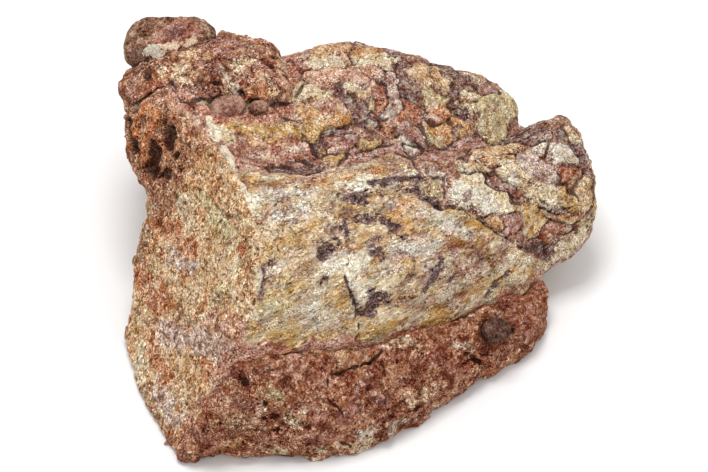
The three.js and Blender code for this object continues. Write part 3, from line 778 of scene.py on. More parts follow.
def store_mask(mesh, name, values):
    """Keeps a number or a tone for each vertex, for the material to read."""
    kind, field = ("FLOAT_COLOR", "color") if values.ndim == 2 else ("FLOAT", "value")
    layer = mesh.attributes.new(name, kind, "POINT")
    layer.data.foreach_set(field, np.clip(values, 0.0, 1.0).astype(np.float32).ravel())


def add_surface(name, node_name, net, tree, relief, material):
    """A fine copy of a CAD node, its skin moved by relief(places, normals), hung on the root body, with the
    node hidden.
    """
    width, rounds, times = net
    mesh = even_mesh(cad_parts[node_name], width, rounds)
    if times:
        split_seen_faces(mesh, tree, times)
    p, n = coordinates(mesh)
    height, masks = relief(p, n)
    moved = p + n * height[:, None]
    moved[:, 2] = np.maximum(moved[:, 2], 0.0)
    mesh.vertices.foreach_set("co", (moved * MM).astype(np.float32).ravel())
    for key, values in masks.items():
        store_mask(mesh, key, values)
    for polygon in mesh.polygons:
        polygon.use_smooth = True
    mesh.update()
    mesh.materials.append(material)
    surface = bpy.data.objects.new(name, mesh)
    link(surface)
    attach(surface, "root")
    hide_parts(node_name)


# ---- relief of the bone --------------------------------------------------------------------------
# Each function gives heights along the surface normal, masks from 0 to 1, or both.

BROAD_SWELL = 0.35
FINE_GRAIN = 0.06
FIBRE_HEIGHT = 0.12
ARCH_FIBRE_HEIGHT = 0.05       # what the arch adds to it
LEDGE_HEIGHT = 0.55            # splintery steps near the sandstone
SPLINTER_HEIGHT = 0.14
LUMP_HEIGHT = 0.10
ARCH_LUMP_HEIGHT = 0.30        # what the arch adds to it
KNOB_LUMP_HEIGHT = 0.12        # what the knob adds to it
PLATE_LINE_DEPTH = 0.35
FLAKE_DEPTH = 0.30
PIT_DEPTH = 0.35
CRACK_RIM = 0.35               # how far outside its half width a crack begins
SPONGE_SWELL = 0.34
STRUT_HEIGHT = 0.22
PORE_DEPTH = 0.34
LARGE_PORE_DEPTH = 0.45
FOLD_HEIGHT = 0.55             # the torn root of the arch
ROOT_BUMP_HEIGHT = 0.25
ROOT_PORE_DEPTH = 0.2
ROOT_HOLLOW_DEPTH = 1.6
SHEET_HEIGHT = 0.8
VUG_DEPTH = 2.6
HIDDEN_FROM = 6.0              # further than this from every given plate, plates are random


def behind_plane(p, foot, lean, turn):
    """How far behind a broken face each point lies: the face's X at the foot, and how that changes
    with height and, behind the middle of the piece, with Y."""
    return p[:, 0] - (foot + lean * p[:, 2] + turn * np.maximum(p[:, 1] - TURN_START, 0.0))


def behind_line(p, line, wobble, soft):
    """1 behind a line seen from above, 0 in front of it."""
    xs, ys = zip(*line)
    return step(p[:, 1] - np.interp(p[:, 0], xs, ys) + wobble, -soft, soft)


def spongy_mask(p, n):
    """1 where the inside of the bone is broken open."""
    wobble = 0.5 * fractal(p, 3.0, 31)
    facing = END_FACING_X * n[:, 0] + END_FACING_Z * n[:, 2]
    end = step(behind_plane(p, *END_PLANE) + wobble, 2.4, 1.2) * step(facing, 0.45, 0.75)
    root = step(behind_plane(p, *ROOT_PLANE) + wobble, 3.0, 1.5)
    root *= step(p[:, 1], 5.0, 9.0) * step(p[:, 2], 24.0, 28.0)
    knob = step(n[:, 0], 0.72, 0.85) * step(p[:, 0], 46.0, 49.0)
    under = step(p[:, 2], 1.2, 0.6)
    back = step(n[:, 1] + 0.5 * fractal(p, 12.0, 77), 0.9, 1.1)
    return np.clip(np.maximum.reduce([end, root, knob, under, back]), 0.0, 1.0)


def bone_parts(p):
    """How far each point belongs to the arch, to the knob and to the torn root of the arch."""
    arch = behind_line(p, GROOVE, 0.8 * fractal(p, 3.0, 97), 0.6)
    knob = behind_line(p, KNOB, 0.5 * fractal(p, 2.5, 99), 0.4)
    knob *= step(p[:, 0], 13.0, 15.0) * (1.0 - arch)
    root = step(behind_plane(p, *ROOT_PLANE), 3.5, 1.0)
    root *= step(p[:, 1], 6.0, 10.0) * step(p[:, 2], 24.0, 28.0)
    return arch, knob, root


def fibre_relief(p, skin, arch):
    """Fibres that run along the bone, coarser and splintery near the sandstone."""
    fibre = fractal(warped(p, 0.6, 5.0, 11), (9.0, 1.0, 1.0), 13)
    slabs = 4.0 * fractal(p, (14.0, 2.6, 2.2), 19, 4)
    ledge = 0.25 * (np.floor(slabs) + step(slabs % 1.0, 0.55, 1.0))
    splinter = step(distance(p, FRONT_SEAM), 7.0, 1.5) * step(p[:, 1], -12.0, -18.0) * skin
    fine = skin * (FIBRE_HEIGHT + ARCH_FIBRE_HEIGHT * arch) * fibre
    return fine + splinter * (LEDGE_HEIGHT * ledge + SPLINTER_HEIGHT * fibre)


def add_hidden_plates(loose, tint, level, off_plate, border):
    """Fills in random plates far from the given ones, on the sides that the photograph hides."""
    first, second, number = cells(loose, (9.0, 7.5, 7.5), 29)
    hidden = off_plate > HIDDEN_FROM
    for index, tone in enumerate(HIDDEN_PLATES):
        chosen = hidden & (number * len(HIDDEN_PLATES) // 1 == index)
        tint[chosen] = colour(TONES[tone])
    level = np.where(hidden, number - 0.3, level)
    border = np.where(hidden, 3.5 * (second - first), border)
    off_plate = np.where(hidden, -1.0, off_plate)
    return tint, level, off_plate, border


def plate_relief(p, broken):
    """Plates of outer bone, each at its own level, with dark lines between them."""
    loose = warped(warped(p, 1.3, 4.0, 23), 0.6, 1.5, 24)
    tint, level, off_plate, border = add_hidden_plates(loose, *nearest_plate(loose, PLATES))
    line = nearness(border - 0.30 * fractal(p, 4.0, 37) - 0.02) * broken
    height = broken * level * step(off_plate, 1.6, 0.4) * (0.4 + 0.6 * step(border, 0.0, 0.4))
    return height - PLATE_LINE_DEPTH * step(line, 0.75, 0.97), line, tint, off_plate


def flakes(p, skin):
    """Where the outer skin has flaked off: the chance field, the distance to the marks, the mask."""
    field = fractal(warped(warped(p, 1.2, 3.0, 41), 0.5, 1.2, 42), (4.5, 2.6, 2.6), 43, 5)
    field += 0.35 * patches(p, FLAKY, 3.0, 8.0, 157, 3.0) - 0.25
    loose = warped(p, 0.7, 2.0, 45)
    away = np.min([distance(loose, line) - radius for radius, line in STAINS], axis=0)
    return field, away, np.maximum(step(field, 0.40, 0.48), step(away, 0.3, -0.3)) * skin


def cut_cracks(loose, shake, table, bottom):
    """Cracks from a table of (half width, depth, places), and the distance from their edges. A crack
    is at its deepest from bottom inwards, counted from its edge."""
    height = np.zeros(len(loose))
    away = np.full(len(loose), 1e9)
    for half_width, depth, line in table:
        gap = distance(loose, line) + shake - half_width
        height -= depth * step(gap, CRACK_RIM, bottom)
        away = np.minimum(away, gap)
    return height, away


def sponge_relief(p):
    """Spongy bone: pores between fine struts, drawn out up and down low on the broken end."""
    stretched = p.copy()
    stretched[:, 2] = p[:, 2] * (0.8 - 0.4 * step(p[:, 2], 30.0, 14.0))
    pore = dots(warped(stretched, 0.5, 1.2, 71), 0.95, 73, (0.50, 0.22), (0.15, 0.45))
    large = dots(warped(p, 0.9, 2.5, 79), 2.4, 83, (0.42, 0.20), (0.72, 0.8))
    bumps = SPONGE_SWELL * fractal(stretched, 3.0, 89, 3) + STRUT_HEIGHT * fractal(stretched, 0.9, 91, 2)
    return bumps - PORE_DEPTH * pore - LARGE_PORE_DEPTH * large, pore, large


def root_relief(p, root, pore):
    """The root of the arch: deep torn hollows between upright sheets."""
    torn = warped(warped(p, 1.2, 4.0, 101), 0.5, 1.4, 102)
    vug = patches(p, ROOT_HOLES, 0.7, 2.0, 104, 0.5)
    sheet = patches(p, ROOT_SHEETS, 0.6, 2.0, 106, 0.5) * (1.0 - vug)
    hollow = dots(torn, (2.2, 2.4, 6.0), 103, (0.50, 0.28), (0.55, 0.65)) * (1.0 - sheet)
    folds = 1.0 - 2.0 * np.abs(fractal(torn, (1.8, 2.4, 8.0), 107, 4))
    bumps = FOLD_HEIGHT * folds + ROOT_BUMP_HEIGHT * fractal(p, 1.5, 108)
    height = root * (bumps - ROOT_HOLLOW_DEPTH * hollow - ROOT_PORE_DEPTH * pore)
    return height + SHEET_HEIGHT * sheet - VUG_DEPTH * vug, hollow, vug, sheet


def coat_mask(p, skin):
    """Where a skin of sandstone is left on the bone."""
    seam = distance(p, FRONT_SEAM) + fractal(p, 3.0, 113)
    coat = np.maximum(patches(p, COATS, 1.6, 4.0, 109, 0.8), 0.8 * step(seam, 1.8, 0.6))
    low_smear = step(distance(p, LOW_SEAM) + 2.2 * fractal(p, 4.0, 173), 7.0, 0.0)
    upper_smear = step(distance(p, UPPER_SEAM) + 1.2 * fractal(p, 3.0, 179), 3.2, 0.6)
    return np.maximum.reduce([coat * skin, low_smear, upper_smear])


def bone_tints(p, spongy, plated, plate_tint, off_plate):
    """The tone of the nearest named part, and how far inside it each point is."""
    zone_tint, zone_away = nearest_zone(warped(p, 1.2, 4.0, 131), ZONES)
    end_tint, end_away = nearest_zone(warped(p, 1.5, 4.0, 149), END_ZONES)
    tint = np.where(plated[:, None], plate_tint, zone_tint)
    inside = np.where(plated, inward(off_plate - 0.6, 4.0), inward(zone_away, 4.0))
    opened = spongy > 0.5
    return np.where(opened[:, None], end_tint, tint), np.where(opened, inward(end_away, 6.0), inside)


def bone_relief(p, n):
    """The height of the bone's relief, and the masks that its material reads."""
    spongy = spongy_mask(p, n)
    skin = 1.0 - spongy
    arch, knob, root = bone_parts(p)
    plates, plate_line, plate_tint, off_plate = plate_relief(p, skin * np.clip(arch + knob, 0.0, 1.0))
    flake_field, stain_away, flaked = flakes(p, skin)
    pits = dots(p, 3.4, 59, (0.15, 0.07), (0.55, 0.6)) * skin
    cracks, crack_away = cut_cracks(warped(p, 0.35, 2.2, 67), 0.20 * noise(p, 1.1, 61), CRACKS, -0.1)
    sponge, pore, large = sponge_relief(p)
    torn, hollow, vug, sheet = root_relief(p, root, pore)
    open_sponge = spongy * (1.0 - root)

    height = BROAD_SWELL * fractal(p, 8.0, 3) + FINE_GRAIN * noise(p, 0.8, 53)
    height += fibre_relief(p, skin, arch) + plates + cracks - FLAKE_DEPTH * flaked - PIT_DEPTH * pits
    lump = LUMP_HEIGHT + ARCH_LUMP_HEIGHT * arch + KNOB_LUMP_HEIGHT * knob
    height += skin * lump * fractal(p, 2.6, 47, 4)
    height += open_sponge * sponge + torn

    plated = (arch + knob > 0.5) & (off_plate < 2.5 + 30.0 * arch)
    tint, inside = bone_tints(p, spongy, plated, plate_tint, off_plate)
    masks = {
        "tint": tint,
        "inside": inside,
        "spongy": spongy,
        "pore": np.maximum.reduce([pore * open_sponge, large * open_sponge, hollow * root, vug, pits]),
        "root": np.maximum(root, vug),
        "sheet": sheet,
        "stain": 0.5 + 1.6 * (flake_field - 0.40),
        "dark": inward(stain_away, 3.0),
        "broken": np.maximum(arch, knob),
        "crack": np.maximum(plate_line, nearness(crack_away)),
        "coat": coat_mask(p, skin),
        "crest": nearness(distance(p, CREST) + 0.9 * fractal(p, 2.5, 127, 3) - 0.9),
    }
    return height, masks


# ---- relief of the sandstone and the stones ------------------------------------------------------

GRIT_SWELL = 0.4
PEBBLE_HEIGHT = 0.40           # for a coarseness of 1
SAND_HEIGHT = 0.18
DUST_HEIGHT = 0.15
HOLE_DEPTH = 0.5
LOWER_COARSENESS = 0.7
LOWER_LIFT = 0.3
END_SWELL = 1.1                # more beside the broken end
LOWER_HOLLOW_DEPTH = 1.4
UPPER_COARSENESS = 1.4
UPPER_GRITTY = 0.7
UPPER_HOLLOW_DEPTH = 1.3
STONE_PIT_DEPTH = 0.2


def grit_relief(p, seed, coarse, gritty):
    """Gravelly sandstone: lumps, pebbles and sand grains, with holes where grains have dropped out."""
    loose = warped(p, 1.8, 4.0, seed)
    grain_near, grain_next, kind = cells(warped(p, 0.7, 1.6, seed + 7), 1.4 + coarse, seed + 11)
    sand_near, _, sand_number = cells(warped(p, 0.3, 0.8, seed + 8), 0.8, seed + 13)
    lumps = 1.0 - 2.0 * np.abs(fractal(loose, 7.0, seed + 17, 3))
    grit = fractal(loose, 2.2, seed + 19, 4)
    chip = step(grain_next - grain_near, 0.03, 0.14)
    sand = step(sand_near, 0.7, 0.1) * sand_number
    hole = step(grit + 0.6 * fractal(p, 1.2, seed + 21), -0.66, -0.84) * gritty
    height = GRIT_SWELL * fractal(p, 8.0, seed + 23, 2) + coarse * (0.18 * lumps + 0.22 * grit)
    height += coarse * PEBBLE_HEIGHT * (kind - 0.4) * chip
    height += SAND_HEIGHT * sand + DUST_HEIGHT * noise(p, 0.6, seed + 25) - HOLE_DEPTH * hole
    masks = {
        "gritty": gritty,
        "grain": chip * step(kind, 0.5, 0.55) * (0.25 + 0.75 * gritty),
        "kind": kind,
        "hole": hole,
        # how high the relief stands, read by the painted shade that darkens its low spots
        "high": 0.5 + 0.6 * (grit + 0.6 * sand - 0.2),
    }
    return height, masks


def add_zones(masks, p, seed, table):
    """Adds the tones of the named parts of a sandstone to its masks."""
    masks["tint"], away = nearest_zone(warped(p, 0.9, 3.0, seed), table)
    masks["inside"] = inward(away, 4.0)


def lower_relief(p, n):
    """The lower sandstone: it swells beside the broken end and has crumbly ledges near the floor."""
    gritty = patches(p, LOWER_GRITTY, 2.5, 5.0, 263, 2.0)
    height, masks = grit_relief(p, 211, LOWER_COARSENESS, gritty)
    ledges = step(p[:, 2], 13.0, 5.0) * fractal(warped(p, 1.0, 3.0, 269), 5.0, 271, 3)
    hollow = patches(p, LOWER_HOLLOWS, 0.8, 2.0, 233)
    cracks, away = cut_cracks(warped(p, 0.5, 2.0, 239), 0.2 * noise(p, 1.0, 241), LOWER_CRACKS, 0.0)
    height += LOWER_LIFT + END_SWELL * step(distance(p, LOW_SEAM), 9.0, 1.5)
    height += ledges + cracks - LOWER_HOLLOW_DEPTH * hollow
    masks["hole"] = np.maximum.reduce([masks["hole"], hollow, step(away, CRACK_RIM, 0.0)])
    add_zones(masks, p, 257, LOWER_ZONES)
    return height, masks


def upper_relief(p, n):
    """The upper sandstone: coarser, and thin where it meets the arch."""
    height, masks = grit_relief(p, 307, UPPER_COARSENESS, np.full(len(p), UPPER_GRITTY))
    edge = step(distance(p, UPPER_SEAM), 1.0, 6.0)
    hollow = patches(p, UPPER_HOLLOWS, 0.6, 2.0, 331)
    masks["hole"] = np.maximum(masks["hole"], hollow)
    add_zones(masks, p, 353, UPPER_ZONES)
    height = (0.35 + 0.65 * edge) * height + 0.5 * edge - 0.2
    return height - UPPER_HOLLOW_DEPTH * hollow, masks


def stone_relief(seed, rough, marks, sunk):
    """A relief function for one stone: low dents, fine grain, a few pits, and marks as (radius, places).
    A stone is lowered by sunk where it faces up or down in the camera's view."""
    def relief(p, n):
        pit = dots(p, 1.7, seed, (0.22, 0.1), (0.6, 0.7))
        dents = 0.35 * fractal(p, 4.0, seed + 3, 4) + 0.12 * fractal(p, 1.2, seed + 5)
        masks = {"hole": pit}
        for number, mark in enumerate(marks):
            masks[f"mark{number}"] = patches(p, [mark], 0.9, 1.8, seed + 7 + number, 0.5)
        return rough * dents - STONE_PIT_DEPTH * pit - sunk * (n @ picture_up()) ** 2, masks
    return relief


# ---- materials -----------------------------------------------------------------------------------

class Paint:
    """Builds one procedural material node by node. Fields are node sockets with values near 0 to 1."""

    def __init__(self, name):
        self.material = bpy.data.materials.new(name)
        self.material.use_nodes = True
        self.tree = self.material.node_tree
        coords = self.tree.nodes.new("ShaderNodeTexCoord").outputs["Object"]
        inputs = {0: coords, "Scale": 1.0 / MM}
        self.place = self.node("VectorMath", inputs, operation="SCALE").outputs["Vector"]

    def plug(self, socket, value):
        """Links a socket to another one, or sets it to a plain value."""
        if isinstance(value, bpy.types.NodeSocket):
            self.tree.links.new(value, socket)
        else:
            socket.default_value = value

    def node(self, kind, inputs, **settings):
        """A new node with its settings made and its inputs, by name or number, plugged in."""
        node = self.tree.nodes.new("ShaderNode" + kind)
        for name, value in settings.items():
            setattr(node, name, value)
        for key, value in inputs.items():
            self.plug(node.inputs[key], value)
        return node

    # fields

    def stretched(self, factors):
        """The place with its axes scaled; patterns made with it are long where a factor is small."""
        return self.node("VectorMath", {0: self.place, 1: factors}, operation="MULTIPLY").outputs["Vector"]

    def shaken(self, amount, size, place=None):
        """The place pushed about by noise."""
        place = place or self.place
        push = self.node("TexNoise", {"Scale": 1.0 / size, "Detail": 2.0, "Vector": place}).outputs["Color"]
        inputs = {0: push, 1: (2.0 * amount,) * 3, 2: place}
        return self.node("VectorMath", inputs, operation="MULTIPLY_ADD").outputs["Vector"]

    def mask(self, name):
        return self.node("Attribute", {}, attribute_name=name).outputs["Fac"]

    def tint(self):
        """The tone of the nearest named part."""
        return self.node("Attribute", {}, attribute_name="tint").outputs["Color"]

    def noise(self, size, detail=3.0, rough=0.55, place=None, warp=0.0):
        inputs = {"Scale": 1.0 / size, "Detail": detail, "Roughness": rough, "Distortion": warp}
        return self.node("TexNoise", inputs | {"Vector": place or self.place}).outputs["Fac"]

    def cells(self, size, feature, output, place):
        inputs = {"Scale": 1.0 / size, "Vector": place}
        return self.node("TexVoronoi", inputs, feature=feature).outputs[output]

    def chips(self, size, place=None):
        """Flat angular chips of about the given size, each with a random value, most of them near 0.5."""
        value = self.cells(size, "F1", "Color", self.shaken(0.7 * size, 1.5 * size, place))
        centred = self.math("SUBTRACT", value, 0.5)
        cubed = self.math("MULTIPLY", self.math("MULTIPLY", centred, centred), centred)
        return self.sum((0.35, centred), (5.5, cubed), (0.5, 1.0))

    def ridge(self, field):
        """0 along the lines where the field is 0.5, more beside them."""
        return self.math("ABSOLUTE", self.math("SUBTRACT", field, 0.5))

    def veins(self, size, width, patch):
        """Thin crinkled lines, drawn only where a broad noise is above the two limits of patch."""
        lines = self.ramp(self.ridge(self.noise(size, 4.0, 0.7)), width, 0.3 * width)
        return self.times(lines, self.ramp(self.noise(2.1 * size, 2.0), *patch))

    def crinkle(self):
        return self.veins(1.7, 0.020, (0.47, 0.54))

    def hairlines(self, size, amount, shake_size):
        """Hair-thin lines that part the surface into pieces about size wide."""
        edge = self.cells(size, "DISTANCE_TO_EDGE", "Distance", self.shaken(amount, shake_size))
        return self.ramp(edge, 0.035, 0.012)

    def spots(self, size, low, high):
        """Small ragged spots, fewer the higher the limits are."""
        return self.ramp(self.noise(size, 2.0, 0.9), low, high)

    # sums

    def math(self, operation, a, b=0.0, clamp=False):
        return self.node("Math", {0: a, 1: b}, operation=operation, use_clamp=clamp).outputs["Value"]

    def times(self, a, b):
        return self.math("MULTIPLY", a, b, True)

    def sum(self, *terms):
        """Adds up (weight, value) terms."""
        total = 0.0
        for weight, value in terms:
            node = self.node("Math", {0: value, 1: weight, 2: total}, operation="MULTIPLY_ADD")
            total = node.outputs["Value"]
        return total

    def detail(self, *terms):
        """Adds up (strength, field) terms, each field counted from its middle."""
        return self.sum(*[(strength, self.math("SUBTRACT", field, 0.5)) for strength, field in terms])

    def ramp(self, value, low, high):
        """0 at low and 1 at high, with a smooth rise; low may be above high for a fall."""
        rises = low < high
        inputs = {"Value": value, "From Min": min(low, high), "From Max": max(low, high)}
        inputs |= {"To Min": 0.0 if rises else 1.0, "To Max": 1.0 if rises else 0.0}
        return self.node("MapRange", inputs, interpolation_type="SMOOTHSTEP").outputs["Result"]

    def spread(self, value, low, high):
        """0 at low and 1 at high, in a straight line."""
        inputs = {"Value": value, "From Min": low, "From Max": high}
        return self.node("MapRange", inputs).outputs["Result"]

    def uneven(self, field, low, high, gain, least):
        """A strength that is least where the field is below low, and gain more where it is above high."""
        return self.sum((gain, self.spread(field, low, high)), (least, 1.0))

    def mixed(self, fac, a, b):
        """The number a where fac is 0 and b where it is 1."""
        return self.node("Mix", {"Factor": fac, 2: a, 3: b}).outputs[0]

    def ragged(self, mask, field, rag=4.0, low=0.42, high=0.58):
        """A soft mask with its edge made crisp and ragged by a noise field."""
        return self.ramp(self.sum((1.0, mask), (rag, self.math("SUBTRACT", field, 0.5))), low, high)

    # tones

    def blend(self, fac, below, above, mode="MIX"):
        inputs = {"Factor": fac, 6: below, 7: above}
        return self.node("Mix", inputs, data_type="RGBA", blend_type=mode).outputs[2]

    def two_tones(self, field, low, high, first, second):
        return self.blend(self.ramp(field, low, high), colour(first), colour(second))

    def tones(self, field, stops):
        """A colour ramp through (position, tone) stops."""
        node = self.node("ValToRGB", {"Fac": field})
        elements = node.color_ramp.elements
        while len(elements) < len(stops):
            elements.new(0.5)
        for element, (position, tone) in zip(elements, stops):
            element.position = position
            element.color = colour(tone)
        return node.outputs["Color"]

    def lay(self, below, cover, tone, strength=1.0):
        """Lays a tone over below where cover is 1."""
        return self.blend(self.times(cover, strength), below, colour(tone))

    def wash(self, below, field, low, high, tone, strength=1.0):
        """Lays a tone over below where the field passes from low to high."""
        return self.lay(below, self.ramp(field, low, high), tone, strength)

    def gamma(self, tone, power):
        return self.node("Gamma", {"Color": tone, "Gamma": power}).outputs["Color"]

    def varied(self, tone, value):
        """The tone made paler where value is above 0, and darker and richer where it is below."""
        return self.gamma(tone, self.math("POWER", 2.0, self.math("MULTIPLY", value, -1.0)))

    def shifted(self, tone, value):
        """The tone made paler or darker by an equal step, as the eye sees it, in red, green and blue."""
        eye = self.gamma(tone, 1.0 / DISPLAY_GAMMA)
        moved = self.node("VectorMath", {0: eye, 1: value}, operation="ADD").outputs["Vector"]
        limited = self.node("VectorMath", {0: moved, 1: DARKEST}, operation="MAXIMUM").outputs["Vector"]
        return self.gamma(limited, DISPLAY_GAMMA)

    def finish(self, tone, height, depth, roughness):
        """Plugs in the colour, a bump of the given depth in millimetres, and the roughness."""
        bump = self.node("Bump", {"Strength": 1.0, "Distance": depth * MM, "Height": height})
        shader = self.tree.nodes["Principled BSDF"].inputs
        self.plug(shader["Base Color"], self.blend(1.0, tone, ALBEDO, "MULTIPLY"))
        self.plug(shader["Specular IOR Level"], SPECULAR)
        self.plug(shader["Normal"], bump.outputs["Normal"])
        self.plug(shader["Roughness"], roughness)
        return self.material


class BonePaint(Paint):
    """The material of the bone, with the fields that its steps share. The centrum is drawn out along
    the bone and its broken parts, the arch and the knob, are not."""

    def __init__(self):
        super().__init__("fossil bone")
        self.along = self.stretched((0.45, 1.0, 1.0))
        self.upright = self.stretched((1.0, 1.0, 0.5))
        self.broken = self.mask("broken")
        self.coarse = self.noise(0.8, 2.0, 1.0)
        self.grit = self.noise(0.32, 1.0, 1.0)
        self.mottle = self.either(self.noise(3.2, 4.0, 1.0, self.along, 0.2), self.noise(3.0, 4.0, 1.0))
        fibre = self.noise(1.0, 3.0, 1.0, self.stretched((0.12, 1.0, 1.0)), 0.2)
        self.grain = self.either(fibre, self.coarse)
        self.chip = self.either(self.chips(0.42, self.stretched((0.4, 1.0, 1.0))), self.chips(0.42))
        self.coat = self.two_tones(self.coarse, 0.44, 0.56, COAT_DARK, COAT_PALE)

    def either(self, centrum, broken):
        return self.mixed(self.broken, centrum, broken)

    def outer_bone(self):
        """Tan with ochre and pink-brown streaks, the tones of the named parts, then small bits."""
        skin = self.wash(colour(SKIN_TAN), self.noise(5.3, 4.0, 0.75, self.along), 0.47, 0.56, SKIN_OCHRE)
        skin = self.wash(skin, self.noise(6.7, 4.0, 0.75, self.along), 0.52, 0.60, SKIN_PINK)
        ground = self.two_tones(self.mottle, 0.46, 0.54, BROKEN_DARK, BROKEN_PALE)
        skin = self.blend(self.ragged(self.broken, self.coarse, 1.0), skin, ground)
        inside = self.ragged(self.mask("inside"), self.either(self.grain, self.mottle), 2.5, 0.32, 0.44)
        skin = self.blend(self.times(inside, 0.92), skin, self.tint())
        bits = self.either(self.noise(3.0, 2.0, 0.6, self.along), self.noise(2.4, 3.0, 0.7))
        skin = self.wash(skin, bits, 0.52, 0.60, BIT_CREAM, 0.38)
        skin = self.wash(skin, bits, 0.47, 0.40, BIT_BROWN, 0.45)
        bits = self.either(self.noise(2.6, 2.0, 0.6, self.along), self.noise(1.9, 3.0, 0.7))
        skin = self.wash(skin, bits, 0.54, 0.62, BIT_ORANGE, 0.35)
        skin = self.wash(skin, bits, 0.45, 0.37, BIT_ASH, 0.45)
        return self.blend(self.ragged(self.mask("coat"), self.mottle), skin, self.coat)

    def flaked(self, skin):
        """Purple-brown smudges, dark purple where the skin has flaked, fine detail, and pale bone with a
        painted highlight along the crest.
        """
        skin = self.lay(skin, self.ragged(self.mask("stain"), self.mottle, 2.5, 0.45, 0.65), SMUDGE, 0.65)
        broad = self.either(self.noise(3.2, 2.0, 0.7, self.along, 0.2), self.noise(3.0, 2.0, 0.7))
        skin = self.varied(skin, self.detail((2.4, broad)))
        spike = self.noise(1.7, 5.0, 0.8, self.stretched((0.6, 1.0, 1.0)))
        flake = self.sum((1.0, self.mask("dark")), (2.4, spike), (-1.2, 1.0))
        purple = self.two_tones(self.coarse, 0.45, 0.57, FLAKE_DARK, FLAKE_PALE)
        skin = self.wash(skin, flake, 0.28, 0.46, FLAKE_RIM, 0.40)
        skin = self.blend(self.times(self.ramp(flake, 0.46, 0.52), 0.92), skin, purple)
        rough = self.uneven(self.noise(2.4, 2.0, 0.7, self.along), 0.44, 0.62, 1.3, 0.20)
        terms = ((0.40, self.mottle), (0.42, self.grain), (rough, self.grit), (0.35, self.chip))
        skin = self.shifted(skin, self.detail(*terms))
        # pale bone along the crest, with a painted highlight
        return self.wash(skin, self.mask("crest"), 0.70, 1.0, CREST_PALE_AND_HIGHLIGHT, 0.75)

    def torn_root(self):
        root = self.two_tones(self.noise(2.2, 4.0, 0.8), 0.44, 0.56, ROOT_DARK, ROOT_PALE)
        return self.lay(root, self.mask("sheet"), SHEET_ORANGE, 0.85)

    def spongy_bone(self):
        """Tan with the tones of its parts, bits and fine detail, cream struts and the painted shade of
        small pores.
        """
        patch = self.noise(3.0, 4.0, 0.8, self.upright)
        sponge = self.two_tones(patch, 0.44, 0.56, SPONGE_ORANGE, SPONGE_TAN)
        inside = self.ragged(self.mask("inside"), patch, 2.4, 0.20, 0.45)
        sponge = self.blend(self.times(inside, 0.9), sponge, self.tint())
        bits = self.noise(1.7, 2.0, 0.6, self.upright)
        sponge = self.wash(sponge, bits, 0.52, 0.62, SPONGE_CREAM, 0.45)
        sponge = self.wash(sponge, bits, 0.47, 0.38, SPONGE_BROWN, 0.45)
        sponge = self.blend(self.times(self.mask("root"), 0.85), sponge, self.torn_root())
        sponge = self.blend(self.ragged(self.mask("coat"), self.mottle, 5.0, 0.35, 0.65), sponge, self.coat)
        sponge = self.varied(sponge, self.detail((2.0, self.noise(2.6, 1.0, 0.6, self.upright))))
        rough = self.uneven(self.noise(2.2, 2.0, 0.7, self.upright), 0.40, 0.62, 1.2, 0.5)
        mottle = self.noise(2.4, 4.0, 1.0, self.upright)
        grit = self.noise(0.30, 1.0, 1.0, self.upright)
        chip = self.chips(0.42, self.upright)
        sponge = self.shifted(sponge, self.detail((0.5, mottle), (rough, grit), (0.5, chip)))
        strut = self.ramp(self.ridge(self.noise(1.3, 1.0, 0.8, self.upright)), 0.026, 0.012)
        strut = self.times(strut, self.ramp(mottle, 0.46, 0.52))
        sponge = self.lay(sponge, strut, STRUT_CREAM, 0.6)
        # painted shade of small pores
        near = self.cells(1.5, "F1", "Distance", self.shaken(0.4, 0.8, self.upright))
        pore = self.times(self.ramp(near, 0.30, 0.18), self.ramp(self.noise(1.9, 3.0, 0.8), 0.50, 0.54))
        return self.lay(sponge, pore, SMALL_PORE_SHADE, 0.75)

    def with_pore_shade(self, tone):
        """Painted shade in the pores and hollows, darkest in the deep hollows of the root."""
        root = self.mask("root")
        cover = self.times(self.ramp(self.mask("pore"), 0.2, 0.6), self.sum((0.25, root), (0.55, 1.0)))
        return self.blend(cover, tone, self.blend(root, colour(PORE_SHADE_BROWN), colour(PORE_SHADE_DARK)))

    def lines(self):
        """Cracks, and thinner lines in patches of the outer bone."""
        hair = self.times(self.hairlines(3.8, 1.2, 1.4), self.ramp(self.mottle, 0.50, 0.53))
        hair = self.times(hair, self.ramp(self.mask("spongy"), 0.5, 0.2))
        crack = self.ragged(self.mask("crack"), self.coarse, 0.6, 0.82, 0.96)
        return self.math("MAXIMUM", crack, self.times(hair, 0.7))

    def build(self):
        tone = self.blend(self.mask("spongy"), self.flaked(self.outer_bone()), self.spongy_bone())
        # dark cracks and plate borders, partly painted shade along the plate edges
        line = self.lines()
        # painted shade in the pores and hollows
        tone = self.lay(self.with_pore_shade(tone), line, LINE_DARK, 0.85)
        specks = self.spots(0.71, 0.61, 0.63)
        # the flecks and the glints are painted highlights
        highlight_flecks = self.spots(0.62, 0.61, 0.63)
        glint = self.veins(1.3, 0.016, (0.48, 0.55))
        marks = self.sum((-0.26, specks), (0.15, highlight_flecks), (-0.24, self.crinkle()), (0.13, glint))
        height = self.sum((0.2, self.grit), (0.3, self.coarse), (0.4, self.grain), (0.5, self.mottle),
                          (0.15, self.chip), (-0.3, line))
        return self.finish(self.shifted(tone, marks), height, 0.6, self.ramp(self.coarse, -0.6, 0.9))


